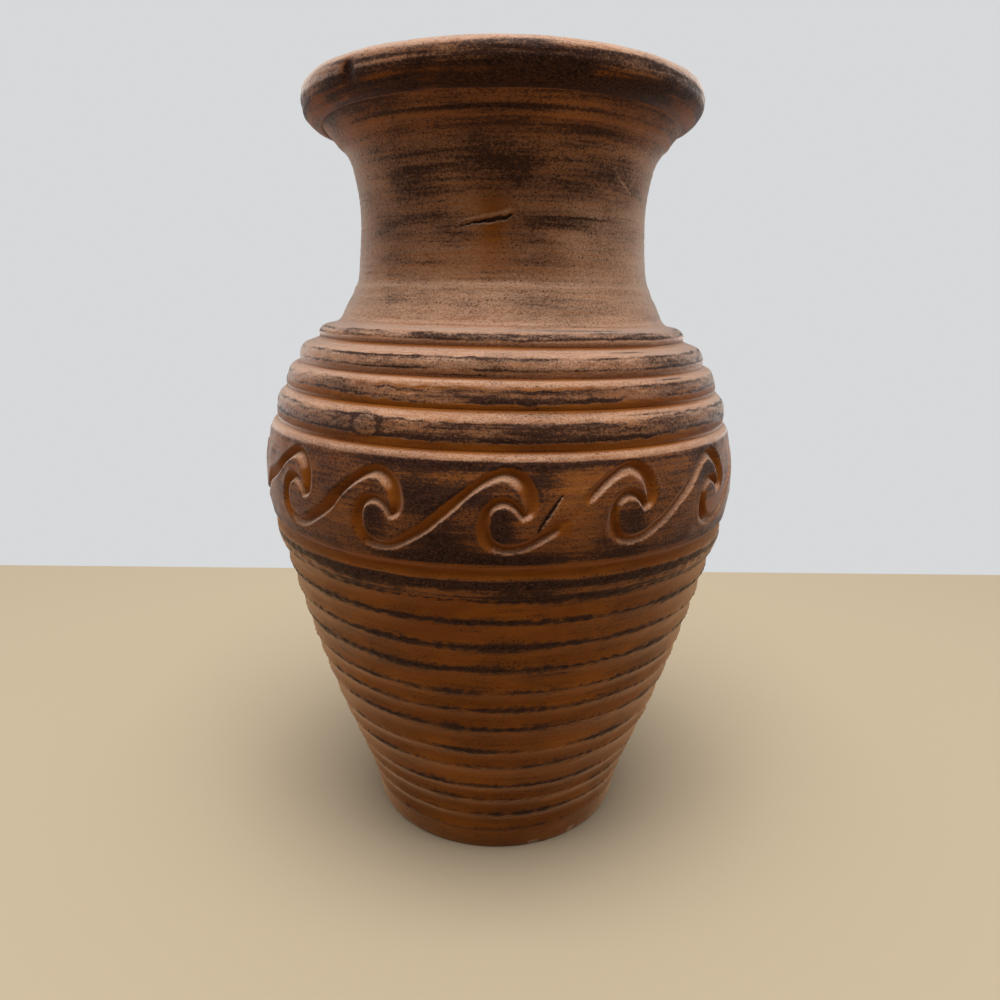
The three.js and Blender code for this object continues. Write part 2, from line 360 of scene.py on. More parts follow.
# What the wash attribute, the streaks, the patches and the specks count for where the wash holds, and the
# threshold that they pass together
WASH_WEIGHT = 1.25
STREAK_WEIGHT = 1.3
PATCH_WEIGHT = 0.65
SPECK_WEIGHT = 2
HOLD_THRESHOLD = 0.62

# Fine relief and dust of the material: the bump's depth is in metres
BUMP_STRENGTH = 0.5
BUMP_DEPTH = 0.0004
DUST_ROUGHNESS = 0.35

# Stage: the floor's finish, the lamp's sizes, distance and height of aim in metres, and the camera's sensor
FLOOR_ROUGHNESS = 0.9
FLOOR_GLOSS = 0.2
LAMP_SIZE = (0.8, 0.6)
LAMP_DISTANCE = 1.2
LAMP_AIM = 0.15
SENSOR_WIDTH = 36

Seam = namedtuple("Seam", "height hidden")


def smooth_line(stations):
    """Natural cubic spline through (place, value) stations, as a function of place.

    Between stations the value is the straight line plus cubic terms weighted by the bends at both ends.
    The bends come from one linear system that keeps slope and bend continuous, with no bend at the two ends.
    """
    place, value = np.array(stations, float).T
    gap = np.diff(place)
    count = len(place)
    inner = np.arange(1, count - 1)
    system = np.eye(count)
    system[inner, inner - 1] = gap[:-1]
    system[inner, inner] = 2 * (gap[:-1] + gap[1:])
    system[inner, inner + 1] = gap[1:]
    target = np.zeros(count)
    target[inner] = 6 * np.diff(np.diff(value) / gap)
    bend = np.linalg.solve(system, target)

    def line(x):
        i = np.clip(np.searchsorted(place, x) - 1, 0, count - 2)
        low = (place[i + 1] - x) / gap[i]
        high = (x - place[i]) / gap[i]
        curve = (low ** 3 - low) * bend[i] + (high ** 3 - high) * bend[i + 1]
        return low * value[i] + high * value[i + 1] + curve * gap[i] ** 2 / 6

    return line


body_line = smooth_line(BODY_STATIONS)
neck_line = smooth_line(NECK_STATIONS)
inner_line = smooth_line(INNER_STATIONS)
neck_wash = smooth_line(NECK_WASH)


def smooth_route(stations, samples):
    """Curve through the stations' first two columns, spaced by distance, which carries the other columns."""
    columns = np.array(stations, float)
    chord = np.r_[0, np.cumsum(np.hypot(*np.diff(columns[:, :2], axis=0).T))]
    places = np.linspace(0, chord[-1], samples)
    return np.column_stack([smooth_line(np.column_stack([chord, column]))(places) for column in columns.T])


def ease(x):
    """Soft step from 0 at x = 0 to 1 at x = 1: three x squared less two x cubed."""
    x = np.clip(x, 0, 1)
    return x * x * (3 - 2 * x)


def hill(x, width):
    """Bell curve of height 1 at x = 0, which falls to a third at that width."""
    return np.exp(-(x / width) ** 2)


def ripple(angle, level, seed, turns, rise, count=24):
    """Smooth random field, mostly from -1 to 1, that closes round the vase.

    It is the sum of cosines cos(n angle + k level + phase), where n is a whole number up to turns and k is
    up to rise radians per millimetre, divided by what makes its spread one half.
    """
    draw = np.random.default_rng(seed)
    whole = draw.integers(-turns, turns + 1, count)
    climb = draw.uniform(-rise, rise, count)
    phase = draw.uniform(0, 2 * np.pi, count)
    total = 0
    for n, k, start in zip(whole, climb, phase):
        total = total + np.cos(n * angle + k * level + start)
    return total / math.sqrt(2 * count)


def uneven(angle, radius, height, amount):
    """The potter's unevenness, which holds still at the foot and the crown.

    The radius wanders by one slow ripple, least on the belly, and the height by another, most among the ribs.
    The rings lean down to the right, and the neck stands to the right of the axis, both by the angle's sine.
    """
    hold = amount * ease(height / STILL_FOOT) * ease((LIP_TOP - height) / STILL_CROWN)
    wander = hold * (0.6 - 0.55 * hill(height - BELLY, 35)) * ripple(angle, height, 11, 3, 0.03)
    lift = hold * (0.7 + 0.8 * hill(height - RIBS_MIDDLE, 45)) * ripple(angle, height, 12, 4, 0.05)
    lean = SHOULDER_LEAN * ease((height - LEAN_SPAN[0]) / 20) * ease((LEAN_SPAN[1] - height) / 20)
    shift = NECK_SHIFT * ease((height - SHIFT_SPAN[0]) / 20) * ease((SHIFT_SPAN[1] - height) / 12)
    return radius + wander + shift * np.sin(angle), height + lift - lean * np.sin(angle)


def sides(angle):
    """Soft share: 0 at the front and back of the vase, 1 at its two sides, where the brush caught less and
    where clay is painted paler as light, standing in for the sheen seen there at grazing view.
    """
    return ease((np.abs(np.sin(angle)) - SIDES_FROM) / SIDES_SPAN)


def turn(columns):
    """Angles round the vase, from the back through the front at 0 to the back again."""
    return np.linspace(-np.pi, np.pi, columns, endpoint=False)[None, :]


def spot(angle, height, radius, mark, power=4):
    """Round mark on the wall, 1 at its middle: a bell over (distance round, height, half width, half height).

    A higher power gives it a flatter top and steeper sides.
    """
    along, level, half_width, half_height = mark
    across = np.abs(angle * radius - along) / half_width
    return np.exp(-across ** power - (np.abs(height - level) / half_height) ** power)


def marks_sum(angle, height, radius, marks):
    """Sum of round marks, each given as the four numbers of a spot and then its strength."""
    total = 0
    for mark in marks:
        total = total + mark[4] * spot(angle, height, radius, mark[:4], 2)
    return total


def groove_distance(along, height, route):
    """Distance from a groove's line, as 0 on the line and 1 at the groove's edge.

    The distance is taken square to the nearest sample of the route, and past the route's ends it is the plain
    distance. It is divided by the groove's width on that side. Also gives how far along the route the nearest
    sample lies, from 0 to 1.
    """
    line = smooth_route(route, ROUTE_SAMPLES)
    step = np.gradient(line[:, :2], axis=0)
    step /= np.hypot(step[:, 0], step[:, 1])[:, None]
    off_along = along[..., None] - line[:, 0]
    off_height = height[..., None] - line[:, 1]
    nearest = np.argmin(off_along ** 2 + off_height ** 2, axis=-1)
    off_along = along - line[nearest, 0]
    off_height = height - line[nearest, 1]
    across = step[nearest, 0] * off_height - step[nearest, 1] * off_along
    plain = np.hypot(off_along, off_height)
    at_end = (nearest == 0) | (nearest == ROUTE_SAMPLES - 1)
    distance = np.where(at_end, plain, np.abs(across))
    width = np.where(across > 0, line[nearest, 2], line[nearest, 3])
    return distance / width, nearest / (ROUTE_SAMPLES - 1)


def cut_share(distance):
    """Share of a groove's full depth: 1 on its line and 0 from its edges outwards, as half a cosine wave."""
    return 0.5 + 0.5 * np.cos(np.pi * np.clip(distance, 0, 1))


def bezier(start, first, second, end, rows):
    """Cubic curve of (radius, height) rows between two points, drawn towards two handles."""
    t = np.linspace(0, 1, rows)[:, None]
    points = [np.array(p, float) for p in (start, first, second, end)]
    weights = [(1 - t) ** 3, 3 * t * (1 - t) ** 2, 3 * t * t * (1 - t), t ** 3]
    return sum(w * p for w, p in zip(weights, points))


def seam_at(height, radius):
    """Stepped seam: level from its outer corner to the middle of the wall, then up the tongue."""
    middle = (radius + inner_line(height)) / 2
    return Seam(height, np.array([[middle, height], [middle, height + TONGUE]]))


def foot_seam():
    """Seam round the foot's boss, which fills the wall from side to side."""
    return Seam(FOOT_SEAM, np.array([[inner_line(FLOOR_TOP), FOOT_SEAM]]))


def softened(outline, start, end):
    """Outline with its end coves filled: points move out and up by a bell of their distance to them."""
    length = np.r_[0, np.cumsum(np.hypot(*np.diff(outline, axis=0).T))]
    fill = start * hill(length, COVE_REACH) + end * hill(length[-1] - length, COVE_REACH)
    return outline + fill[:, None] * math.sqrt(0.5)


def outward(outline):
    """Unit vectors square to an outline that runs upwards, pointing away from the axis."""
    step = np.gradient(outline, axis=0)
    return np.column_stack([step[:, 1], -step[:, 0]]) / np.hypot(step[:, 0], step[:, 1])[:, None]


def upward(radius, height):
    """How far each point of a grid faces up: the vertical part of the unit vector square to its column."""
    inwards = -np.gradient(radius, axis=0)
    return inwards / np.hypot(inwards, np.gradient(height, axis=0))


def throwing_rings(angle, height):
    """Finger rings left inside the wall: a slow spiral wave up the height, with a finer ripple on it."""
    spiral = np.sin(2 * np.pi * height / THROWING_PITCH + angle)
    return THROWING_DEPTH * spiral + THROWING_RIPPLE * ripple(angle, height, 21, 5, 1.6)


def grid_faces(rows, columns, looped):
    """Quads over a grid that closes round the axis, and from its last row to its first if it is looped."""
    row = np.arange(rows if looped else rows - 1)[:, None]
    column = np.arange(columns)[None, :]
    beside = (column + 1) % columns
    above = (row + 1) % rows * columns
    corners = [row * columns + column, row * columns + beside, above + beside, above + column]
    return np.stack(np.broadcast_arrays(*corners), axis=-1).reshape(-1, 4)


def fan_faces(pole, row, columns, upwards):
    """Triangles from a pole point to a row of the grid."""
    column = np.arange(columns)
    first = row * columns + column
    second = row * columns + (column + 1) % columns
    if not upwards:
        first, second = second, first
    return np.column_stack([first, second, np.full(columns, pole)])


def clay_mesh(name, angle, radius, height, looped, sharp, fields):
    """Mesh of a surface turned about the axis, from radius and height grids of rows by columns.

    A grid point is (radius sin angle, -radius cos angle, height). A looped grid closes on itself along its
    rows. One that isn't starts and ends on the axis, so its end rows become two pole points with triangles.
    Rows listed as sharp keep their edge, and each field becomes an attribute of the points.
    """
    rows, columns = radius.shape
    points = np.stack([radius * np.sin(angle), -radius * np.cos(angle), height], axis=-1)
    keep = slice(None) if looped else slice(1, -1)
    body = points[keep].reshape(-1, 3)
    row_of = np.repeat(np.arange(rows)[keep], columns)
    values = {key: field[keep].ravel() for key, field in fields.items()}
    quads = grid_faces(rows if looped else rows - 2, columns, looped)
    corners = quads.ravel()
    sizes = np.full(len(quads), 4)
    if not looped:
        low, high = len(body), len(body) + 1
        body = np.vstack([body, points[0, :1], points[-1, :1]])
        row_of = np.r_[row_of, 0, rows - 1]
        values = {key: np.r_[value, fields[key][0, 0], fields[key][-1, 0]] for key, value in values.items()}
        fans = np.vstack([fan_faces(low, 0, columns, False), fan_faces(high, rows - 3, columns, True)])
        corners = np.r_[corners, fans.ravel()]
        sizes = np.r_[sizes, np.full(len(fans), 3)]
    mesh = bpy.data.meshes.new(name)
    mesh.vertices.add(len(body))
    mesh.vertices.foreach_set("co", (body * MM).astype(np.float32).ravel())
    mesh.loops.add(len(corners))
    mesh.loops.foreach_set("vertex_index", corners.astype(np.int32))
    mesh.polygons.add(len(sizes))
    mesh.polygons.foreach_set("loop_start", np.r_[0, np.cumsum(sizes)[:-1]].astype(np.int32))
    mesh.update(calc_edges=True)
    if mesh.validate():
        raise RuntimeError(f"{name} has faces that don't hold together")
    mesh.shade_smooth()
    ends = np.empty(len(mesh.edges) * 2, np.int32)
    mesh.edges.foreach_get("vertices", ends)
    ends = row_of[ends.reshape(-1, 2)]
    on_sharp_row = (ends[:, 0] == ends[:, 1]) & np.isin(ends[:, 0], sharp)
    mesh.attributes.new("sharp_edge", "BOOLEAN", "EDGE").data.foreach_set("value", on_sharp_row)
    for key, value in values.items():
        mesh.attributes.new(key, "FLOAT", "POINT").data.foreach_set("value", value.astype(np.float32))
    return mesh


def outline_length(rows):
    """Distance along an outline in metres, for brush streaks that follow the wheel."""
    return np.r_[0, np.cumsum(np.hypot(*np.diff(rows, axis=0).T))] * MM


def add_piece(node, mesh, slot):
    """Puts a finished mesh in the scene in place of a packed section."""
    piece = bpy.data.objects.new(f"clay_{node}", mesh)
    mesh.materials.append(clay_material(slot))
    bpy.context.scene.collection.objects.link(piece)
    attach(piece, "root")
    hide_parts(node)


def add_section(node, slot, outside, relief, wash, chalk_and_light, lower, upper, inner_rows, columns):
    """One closed section of the wall: the outside, the seams and the inside, all turned about the axis.

    The outside rows move square to the outline by the relief. The inside rows move towards the axis by the
    throwing rings. Then the whole section takes the potter's unevenness, which is the same on both sides of a
    seam. Wherever the outside faces up it is made paler, partly rubbed clay and partly a painted highlight of
    the light overhead.
    """
    settings = bpy.context.scene.clay_vase_shape
    angle = turn(columns)
    bottom = lower.height + TONGUE
    if upper is None:
        wall = np.linspace(outside[-1, 1], bottom, inner_rows + 1)[1:]
        bridge = np.empty((0, 2))
    else:
        wall = np.linspace(upper.height + TONGUE, bottom, inner_rows)
        bridge = upper.hidden
    inside = np.column_stack([inner_line(wall), wall])
    rows = np.vstack([outside, bridge, inside, lower.hidden[::-1]])
    outer = len(outside)
    inner = slice(outer + len(bridge), outer + len(bridge) + len(inside))
    facing = np.zeros_like(rows)
    facing[:outer] = outward(outside)
    facing[inner] = (-1, 0)
    push = np.zeros((len(rows), columns))
    push[:outer] = relief
    push[inner] = throwing_rings(angle, wall[:, None]) if upper is not None else 0
    radius = rows[:, :1] + facing[:, :1] * push
    height = rows[:, 1:] + facing[:, 1:] * push
    radius, height = uneven(angle, radius, height, settings.unevenness / MM)
    sharp = np.r_[0, outer - 1 if upper is not None else [], outer:inner.start + 1, inner.stop - 1:len(rows)]
    fields = {key: np.zeros((len(rows), columns)) for key in ("wash", "chalk_and_light")}
    up = upward(radius[:outer], height[:outer])
    fields["chalk_and_light"][inner] = INSIDE_CHALK
    fields["wash"][:outer] = wash
    # Paler where the outside faces up: partly rubbed clay, partly a painted highlight of the light overhead
    rubbed_and_lit = RUBBED_AND_LIT_SHARE * ease((up - RUBBED_AND_LIT_FROM) / RUBBED_AND_LIT_SPAN)
    fields["chalk_and_light"][:outer] = np.clip(chalk_and_light + rubbed_and_lit, 0, 1)
    fields["along"] = outline_length(rows)[:, None] + np.zeros((1, columns))
    mesh = clay_mesh(node, angle, radius, height, True, sharp, fields)
    add_piece(node, mesh, slot)


# Paint and relief of each section


def rib_fields(angle, height, scallop):
    """Relief, wash and chalk of the ribbed wall: torn crests with broken dark lines, bare clay in between.

    A crest's line is a bell of the distance from it, divided by a width that wanders round, with a weaker and
    wider bell above the crest. It is multiplied by a strength that wanders round and is lower at the sides. A
    second, thin line runs here and there below it. The broad ridge above the ribs is worn and darkest along
    its two edges, with a thinner wash at the sides, where the clay is painted paler as light.
    """
    relief = -0.35 * scallop * ripple(angle, height, 31, 7, 0.12)
    relief = relief + 0.05 * ripple(angle, height, 32, 40, 1.2)
    wash = WALL_WASH + 0.1 * ripple(angle, height, 33, 6, 0.2) + 0 * angle
    tear = ripple(angle, height, 34, 130, 5, 60)
    for number, (crest, paint) in enumerate(zip(RIB_CRESTS, RIB_PAINT)):
        off = height - crest - 0.25 * ripple(angle, 0, 40 + number, 12, 0)
        width = RIB_LINE_WIDTH + RIB_LINE_WANDER * ripple(angle, 0, 220 + number, 14, 0)
        torn = (off + RIB_LINE_TEAR * tear) / np.maximum(width, RIB_LINE_LEAST)
        line = np.where(torn > 0, np.maximum(hill(torn, 0.85), 0.25 * hill(torn, 1.8)), hill(torn, 0.95))
        strength = paint + 0.4 * ripple(angle, 0, 60 + number, 9, 0)
        strength = strength + 0.25 * ripple(angle, 0, 80 + number, 45, 0) - 0.3 * sides(angle)
        second = hill(off + SECOND_LINE_DROP + 0.6 * ripple(angle, 0, 240 + number, 7, 0), 0.4)
        second = second * np.clip(0.9 * ripple(angle, 0, 260 + number, 16, 0) - 0.1, 0, 0.7)
        relief = relief + hill(off, 0.6) * (0.05 + 0.2 * tear)
        wash = np.maximum(wash, np.clip(strength, 0.1, 1) * line)
        wash = np.maximum(wash, paint * second)
    on_ridge = ease((height - RIB_CRESTS[-1]) / 1.2) * ease((RIDGE_TOP + 0.6 - height) / 1.2)
    relief = relief + on_ridge * 0.16 * ripple(angle, height, 35, 110, 2.6, 60)
    worn = RIDGE_WASH + 0.16 * ripple(angle, height, 36, 14, 0.5)
    worn = worn + 0.14 * ripple(angle, height, 38, 80, 1, 40)
    edge = 0.85 * hill(height - RIDGE_TOP + 1.9, 1.4) + 0.5 * hill(height - RIB_CRESTS[-1] - 0.5, 1)
    wash = np.maximum(wash, on_ridge * np.clip(worn + edge - 0.25 * sides(angle), 0, 1))
    in_groove = ease((height - RIDGE_TOP - 0.3) / 0.9)
    # Paler on the ridge, and at the sides painted paler as light
    return relief, wash * (1 - in_groove), 0.1 * on_ridge + 0.12 * sides(angle)


def cove_shade(outline, crease):
    """Painted shade in the cove at an outline's upper end: the share of paleness taken off, most at the
    crease.
    """
    length = outline_length(outline) / MM
    return COVE_SHADE_LOSS * ease(1 - (length[-1] - length) / COVE_SHADE_REACH[crease])[:, None]


def wave_cut(angle, height):
    """Share of the running wave's full depth over the band, and of the burr thrown up beside it.

    Each curl has its own groove, worked out only on the columns that it reaches, and the deeper cut wins.
    """
    pitch = 2 * np.pi / WAVE_CURLS
    half = WAVE_CURLS // 2
    shape = np.broadcast_shapes(angle.shape, height.shape)
    level = np.broadcast_to(height, shape)
    share = np.zeros(shape)
    burr = np.zeros(shape)
    draw = np.random.default_rng(51)
    jitter = draw.uniform(-CURL_JITTER, CURL_JITTER, (WAVE_CURLS, 2))

    def place(curl):
        shift = CURL_SHIFTS.get((curl + half) % WAVE_CURLS - half, jitter[curl % WAVE_CURLS])
        return (WAVE_FIRST_CURL + curl * pitch) * WAVE_RADIUS + shift[0], shift[1]

    for curl in range(-half, half):
        start, rise = place(curl)
        end, next_rise = place(curl + 1)
        route = [(start + a, h + rise, left, right) for a, h, left, right in WAVE_LEAVING]
        route += [(end + a, h + next_rise, left, right) for a, h, left, right in WAVE_ARRIVING]
        middle = (start + end) / 2 / WAVE_RADIUS
        off = np.angle(np.exp(1j * (angle[0] - middle)))
        near = np.abs(off) < WAVE_REACH / WAVE_RADIUS
        along = np.broadcast_to((off[near] + middle) * WAVE_RADIUS, (shape[0], near.sum()))
        distance, travelled = groove_distance(along, level[:, near], route)
        left = 1
        if curl == SMEARED_CURL:
            filled = ease((travelled - SMEAR_SPAN[0]) / SMEAR_EDGE)
            filled = filled * ease((SMEAR_SPAN[1] - travelled) / SMEAR_EDGE)
            left = 1 - SMEAR_FILL * filled
        share[:, near] = np.maximum(share[:, near], left * cut_share(distance))
        burr[:, near] = np.maximum(burr[:, near], left * hill(distance - BURR_PLACE, BURR_WIDTH))
    return share, burr * (1 - share)


def band_fields(angle, outline, depth):
    """Relief, wash and chalk of the belly band: the cut wave, bare in its grooves, on a worn dark face.

    The relief stops at the solid's own widest line. Its top edge is paler, partly rubbed and partly a painted
    highlight, and the cove at its upper end is painted darker as shade. The grooves lose the paleness painted
    where the clay faces up, less so at the sides, where clay is painted paler as light.
    """
    radius, height = outline[:, :1], outline[:, 1:]
    share, burr = wave_cut(angle, height)
    along = angle * WAVE_RADIUS + 0 * height
    first = WAVE_FIRST_CURL * WAVE_RADIUS
    slit_route = [(first + a, h, left, right) for a, h, left, right in SLIT_ROUTE]
    slit = cut_share(groove_distance(along, height + 0 * angle, slit_route)[0])
    lump = spot(angle, height, WAVE_RADIUS, (first + LUMP[0],) + LUMP[1:])
    on_face = ease((height - BAND_FACE_LOW + 1) / 1.5) * ease((BAND_EDGE[0] + 0.6 - height) / 1.5)
    relief = -depth * share - SLIT_DEPTH * slit + LUMP_HEIGHT * lump + BURR_HEIGHT * burr
    relief = relief + on_face * (0.1 * ripple(angle, height, 52, 60, 1.4, 40) - 0.2)
    relief = relief + on_face * 0.1 * ripple(angle, height, 53, 9, 0.3)
    relief = np.minimum(relief, CAD_BOX[1].x / MM - BOX_MARGIN - radius)
    wash = BAND_WASH + 0.1 * ripple(angle, height, 54, 12, 0.35) + 0.08 * ripple(angle, height, 55, 30, 0.9)
    wash = wash + 0.1 * hill(height - BAND_FACE_HIGH, 1.6) + 0.2 * hill(height - BAND_FACE_LOW - 1, 2.2)
    wash = np.clip(wash + marks_sum(angle, height, WAVE_RADIUS, BAND_MARKS), 0, 1)
    bare = np.maximum(ease((share - 0.04) / 0.16), ease(lump / 0.5) * 0.6)
    tread = ease((height - BAND_EDGE[0] + 1.1) / 0.8)
    wash = np.maximum(wash * on_face * (1 - bare) * (1 - tread), ease((slit - 0.15) / 0.6))
    rim = hill(height - BAND_EDGE[0] + 0.4, 0.6)
    # Grooves lose the paleness painted where the clay faces up, less so at the sides, where clay is painted
    # paler as light; the top edge is paler, partly rubbed and partly a painted highlight; painted shade in
    # the cove above, less at the sides
    chalk_and_light = on_face * (0.08 + (0.2 * sides(angle) - 0.3) * bare) + 0.5 * rim
    return relief, wash, chalk_and_light - cove_shade(outline, 0) * (1 - 0.7 * sides(angle))


def ring_fields(angle, outline, step):
    """Relief, wash and chalk of a shoulder ring: a brushed nose, a bare riser below and a pale tread above.

    The nose is what lies between the ring's two paint heights, which sway round the vase and climb towards
    the sides. A broken line runs along its upper edge and another along its lower one. The wash is thinner at
    the sides, and the cove at the ring's foot is painted paler there as light. The risers of the upper rings
    are lifted out of their shade by painted light, and the cove at the tread's upper end is painted darker as
    shade.
    """
    height = outline[:, 1:]
    low, high = RING_PAINT[step]
    radius = RING_FACES[step][0][1]
    sway = 0.35 * ripple(angle, 0, 100 + step, 10, 0)
    sway = sway + LINE_WANDER[step] * ripple(angle, 0, 110 + step, 90, 0, 40)
    sway = sway - PAINT_CLIMB[step] * ease((np.abs(np.sin(angle)) - 0.2) / 0.6)
    above = ease((height + sway - low + 0.4) / 0.8)
    painted = above * ease((high + 0.4 - height - sway) / 0.8)
    wash = RING_WASH[step] + 0.1 * ripple(angle, height, 120 + step, 16, 0.8)
    wash = wash + 0.1 * ripple(angle, height, 125 + step, 60, 3, 40)
    wash = wash + marks_sum(angle, height, radius, RING_MARKS[step])
    top_line = TOP_LINES[step] + 0.25 * ripple(angle, 0, 130 + step, 30, 0)
    low_line = 0.3 + 0.35 * ripple(angle, 0, 135 + step, 22, 0)
    line_width = LINE_WIDTHS[step]
    wash = wash + top_line * hill(height + sway - high + 0.4, 0.4)
    wash = wash + low_line * hill(height + sway - low - line_width, line_width)
    # Wash thinner at the sides, where clay is painted paler as light
    wash = np.clip(wash - 0.06 * sides(angle) - 0.08 * hill(angle + 0.65, 0.35), 0, 1) * painted
    wash = wash + marks_sum(angle, height, radius, RING_STRAYS[step])
    mid = ease((height - RING_SEAMS[step] - 0.6) / 1.5) * ease(RING_SEAMS[step + 1] - 0.5 - height)
    relief = 0.06 * ripple(angle, height, 140 + step, 90, 3, 40)
    relief = mid * (relief + 0.08 * ripple(angle, height, 150 + step, 14, 0.8))
    # Nose paler, less so at the sides; riser lifted out of its shade by painted light; painted shade in the
    # cove at the tread's upper end, less at the sides; the cove at the ring's foot painted paler as light at
    # the sides
    chalk_and_light = NOSE_CHALK[step] * painted * (1 - 0.4 * sides(angle)) + RISER_PAINTED_LIGHT[step] * (1 - above)
    chalk_and_light = chalk_and_light - cove_shade(outline, step + 1) * (1 - 0.7 * sides(angle))
    chalk_and_light = chalk_and_light + 0.8 * sides(angle) * ease((RING_SEAMS[step] + 1.5 - height) / 0.8)
    if step == 0:
        pellet = spot(angle, height + 0.4 * ripple(angle, 0, 161, 60, 0), radius, PELLET, 2.5)
        relief = relief + PELLET_HEIGHT * pellet * (0.85 + 0.25 * ripple(angle, height, 160, 60, 2))
        wash = wash + (0.42 - wash) * ease(pellet / 0.5) + 0.35 * hill(pellet - 0.2, 0.16)
    return relief, wash, chalk_and_light


def neck_fields(angle, outline):
    """Relief, wash and chalk of the neck: throwing lines, two beads, a crack, a scratch and a brushed wash.

    The wash follows its own line of strength up the neck. The clay is paler towards the foot and bare round
    the crack. At the sides and on the right it is painted paler as light, a painted sheen, with a thinner
    wash at the sides, and the beads and the raised edge over the crack are painted paler as highlights.
    """
    height = outline[:, 1:]
    waist = neck_line(NECK_WAIST)
    bead = hill(height - BEAD_LINE, BEAD_WIDTH)
    top_bead = hill(height - TOP_BEAD_LINE, BEAD_WIDTH)
    bare = spot(angle, height, waist, NECK_BARE, 2)
    # Painted sheen: share of the sides painted paler as light, below its own height
    dust_and_sheen = sides(angle) * ease((SIDE_SHEEN_TOP - height) / 10)
    ends = ease((height - COLLAR_SEAM) / 1.5) * ease((LIP_SEAM - height) / 1.5)
    along = angle * waist + 0 * height
    level = height + 0 * angle
    crack = cut_share(groove_distance(along, level + 0.35 * ripple(angle, 0, 170, 120, 0), CRACK_ROUTE)[0])
    flap = cut_share(groove_distance(along, level - FLAP_RISE, CRACK_ROUTE)[0])
    scratch = cut_share(groove_distance(along, level, SCRATCH_ROUTE)[0])
    relief = 0.08 * ripple(angle, height, 171, 2, 4, 40) + 0.1 * ripple(angle, height, 172, 8, 0.4)
    relief = relief + 0.04 * ripple(angle, height, 173, 110, 4, 60)
    relief = ends * relief + BEAD_RISE * (bead + top_bead)
    relief = relief + FLAP_HEIGHT * flap - CRACK_DEPTH * crack - SCRATCH_DEPTH * scratch
    wash = neck_wash(height) + 0.1 * ripple(angle, height, 174, 5, 1.1, 40)
    wash = wash + 0.08 * ripple(angle, height, 175, 16, 0.25)
    # Wash thinner round the crack, on the beads and on the raised edge over the crack, where these are
    # painted paler as highlights, and at the sides under the painted sheen
    wash = wash + marks_sum(angle, height, waist, NECK_MARKS) - 0.12 * bare - 0.15 * top_bead
    wash = np.clip(wash, 0.05, 1) * (1 - scratch) * (1 - 0.6 * flap) * (1 - 0.5 * dust_and_sheen) * (1 - bead)
    wash = np.maximum(wash, ease((crack - 0.25) / 0.4))
    # Paler towards the foot, and painted paler as light at the sides and on the right
    chalk_and_light = NECK_CHALK - 0.25 * ease((height - FLARE_START) / 6) + 0.18 * dust_and_sheen
    chalk_and_light = chalk_and_light + 0.45 * ease((FOOT_PALE_TOP - height) / 6)
    chalk_and_light = chalk_and_light + 0.5 * ease((np.sin(angle) - 0.2) / 0.4) * ease((RIGHT_LIGHT_TOP - height) / 12)
    # The scratch shows pale clay; the raised edge over the crack and the beads are painted paler as
    # highlights
    return relief, wash, chalk_and_light + 0.8 * scratch + 0.4 * flap + 0.4 * bead - 0.4 * bare


def collar_fields(angle, outline):
    """Relief, wash and chalk of the collar: smooth and pale, with short broken streaks half way up."""
    height = outline[:, 1:]
    bead = hill(height - BEAD_LINE, BEAD_WIDTH)
    ends = ease((height - RING_SEAMS[-1]) / 1.5) * ease((COLLAR_SEAM - height) / 1)
    relief = 0.07 * ripple(angle, height, 181, 2, 3, 30) + 0.04 * ripple(angle, height, 182, 110, 4, 60)
    wash = COLLAR_WASH + 0.12 * ripple(angle, height, 183, 8, 1.2) + 0.2 * hill(height - STREAK_LINE, 2.4)
    # No wash on the bead along the seam, which is painted paler as a highlight
    wash = np.clip(wash, 0, 1) * ease((height - RING_SEAMS[-1] - 0.8) / 1.5) * (1 - bead)
    return ends * relief + BEAD_RISE * bead, wash, COLLAR_CHALK + 0.15 * bead + 0 * wash


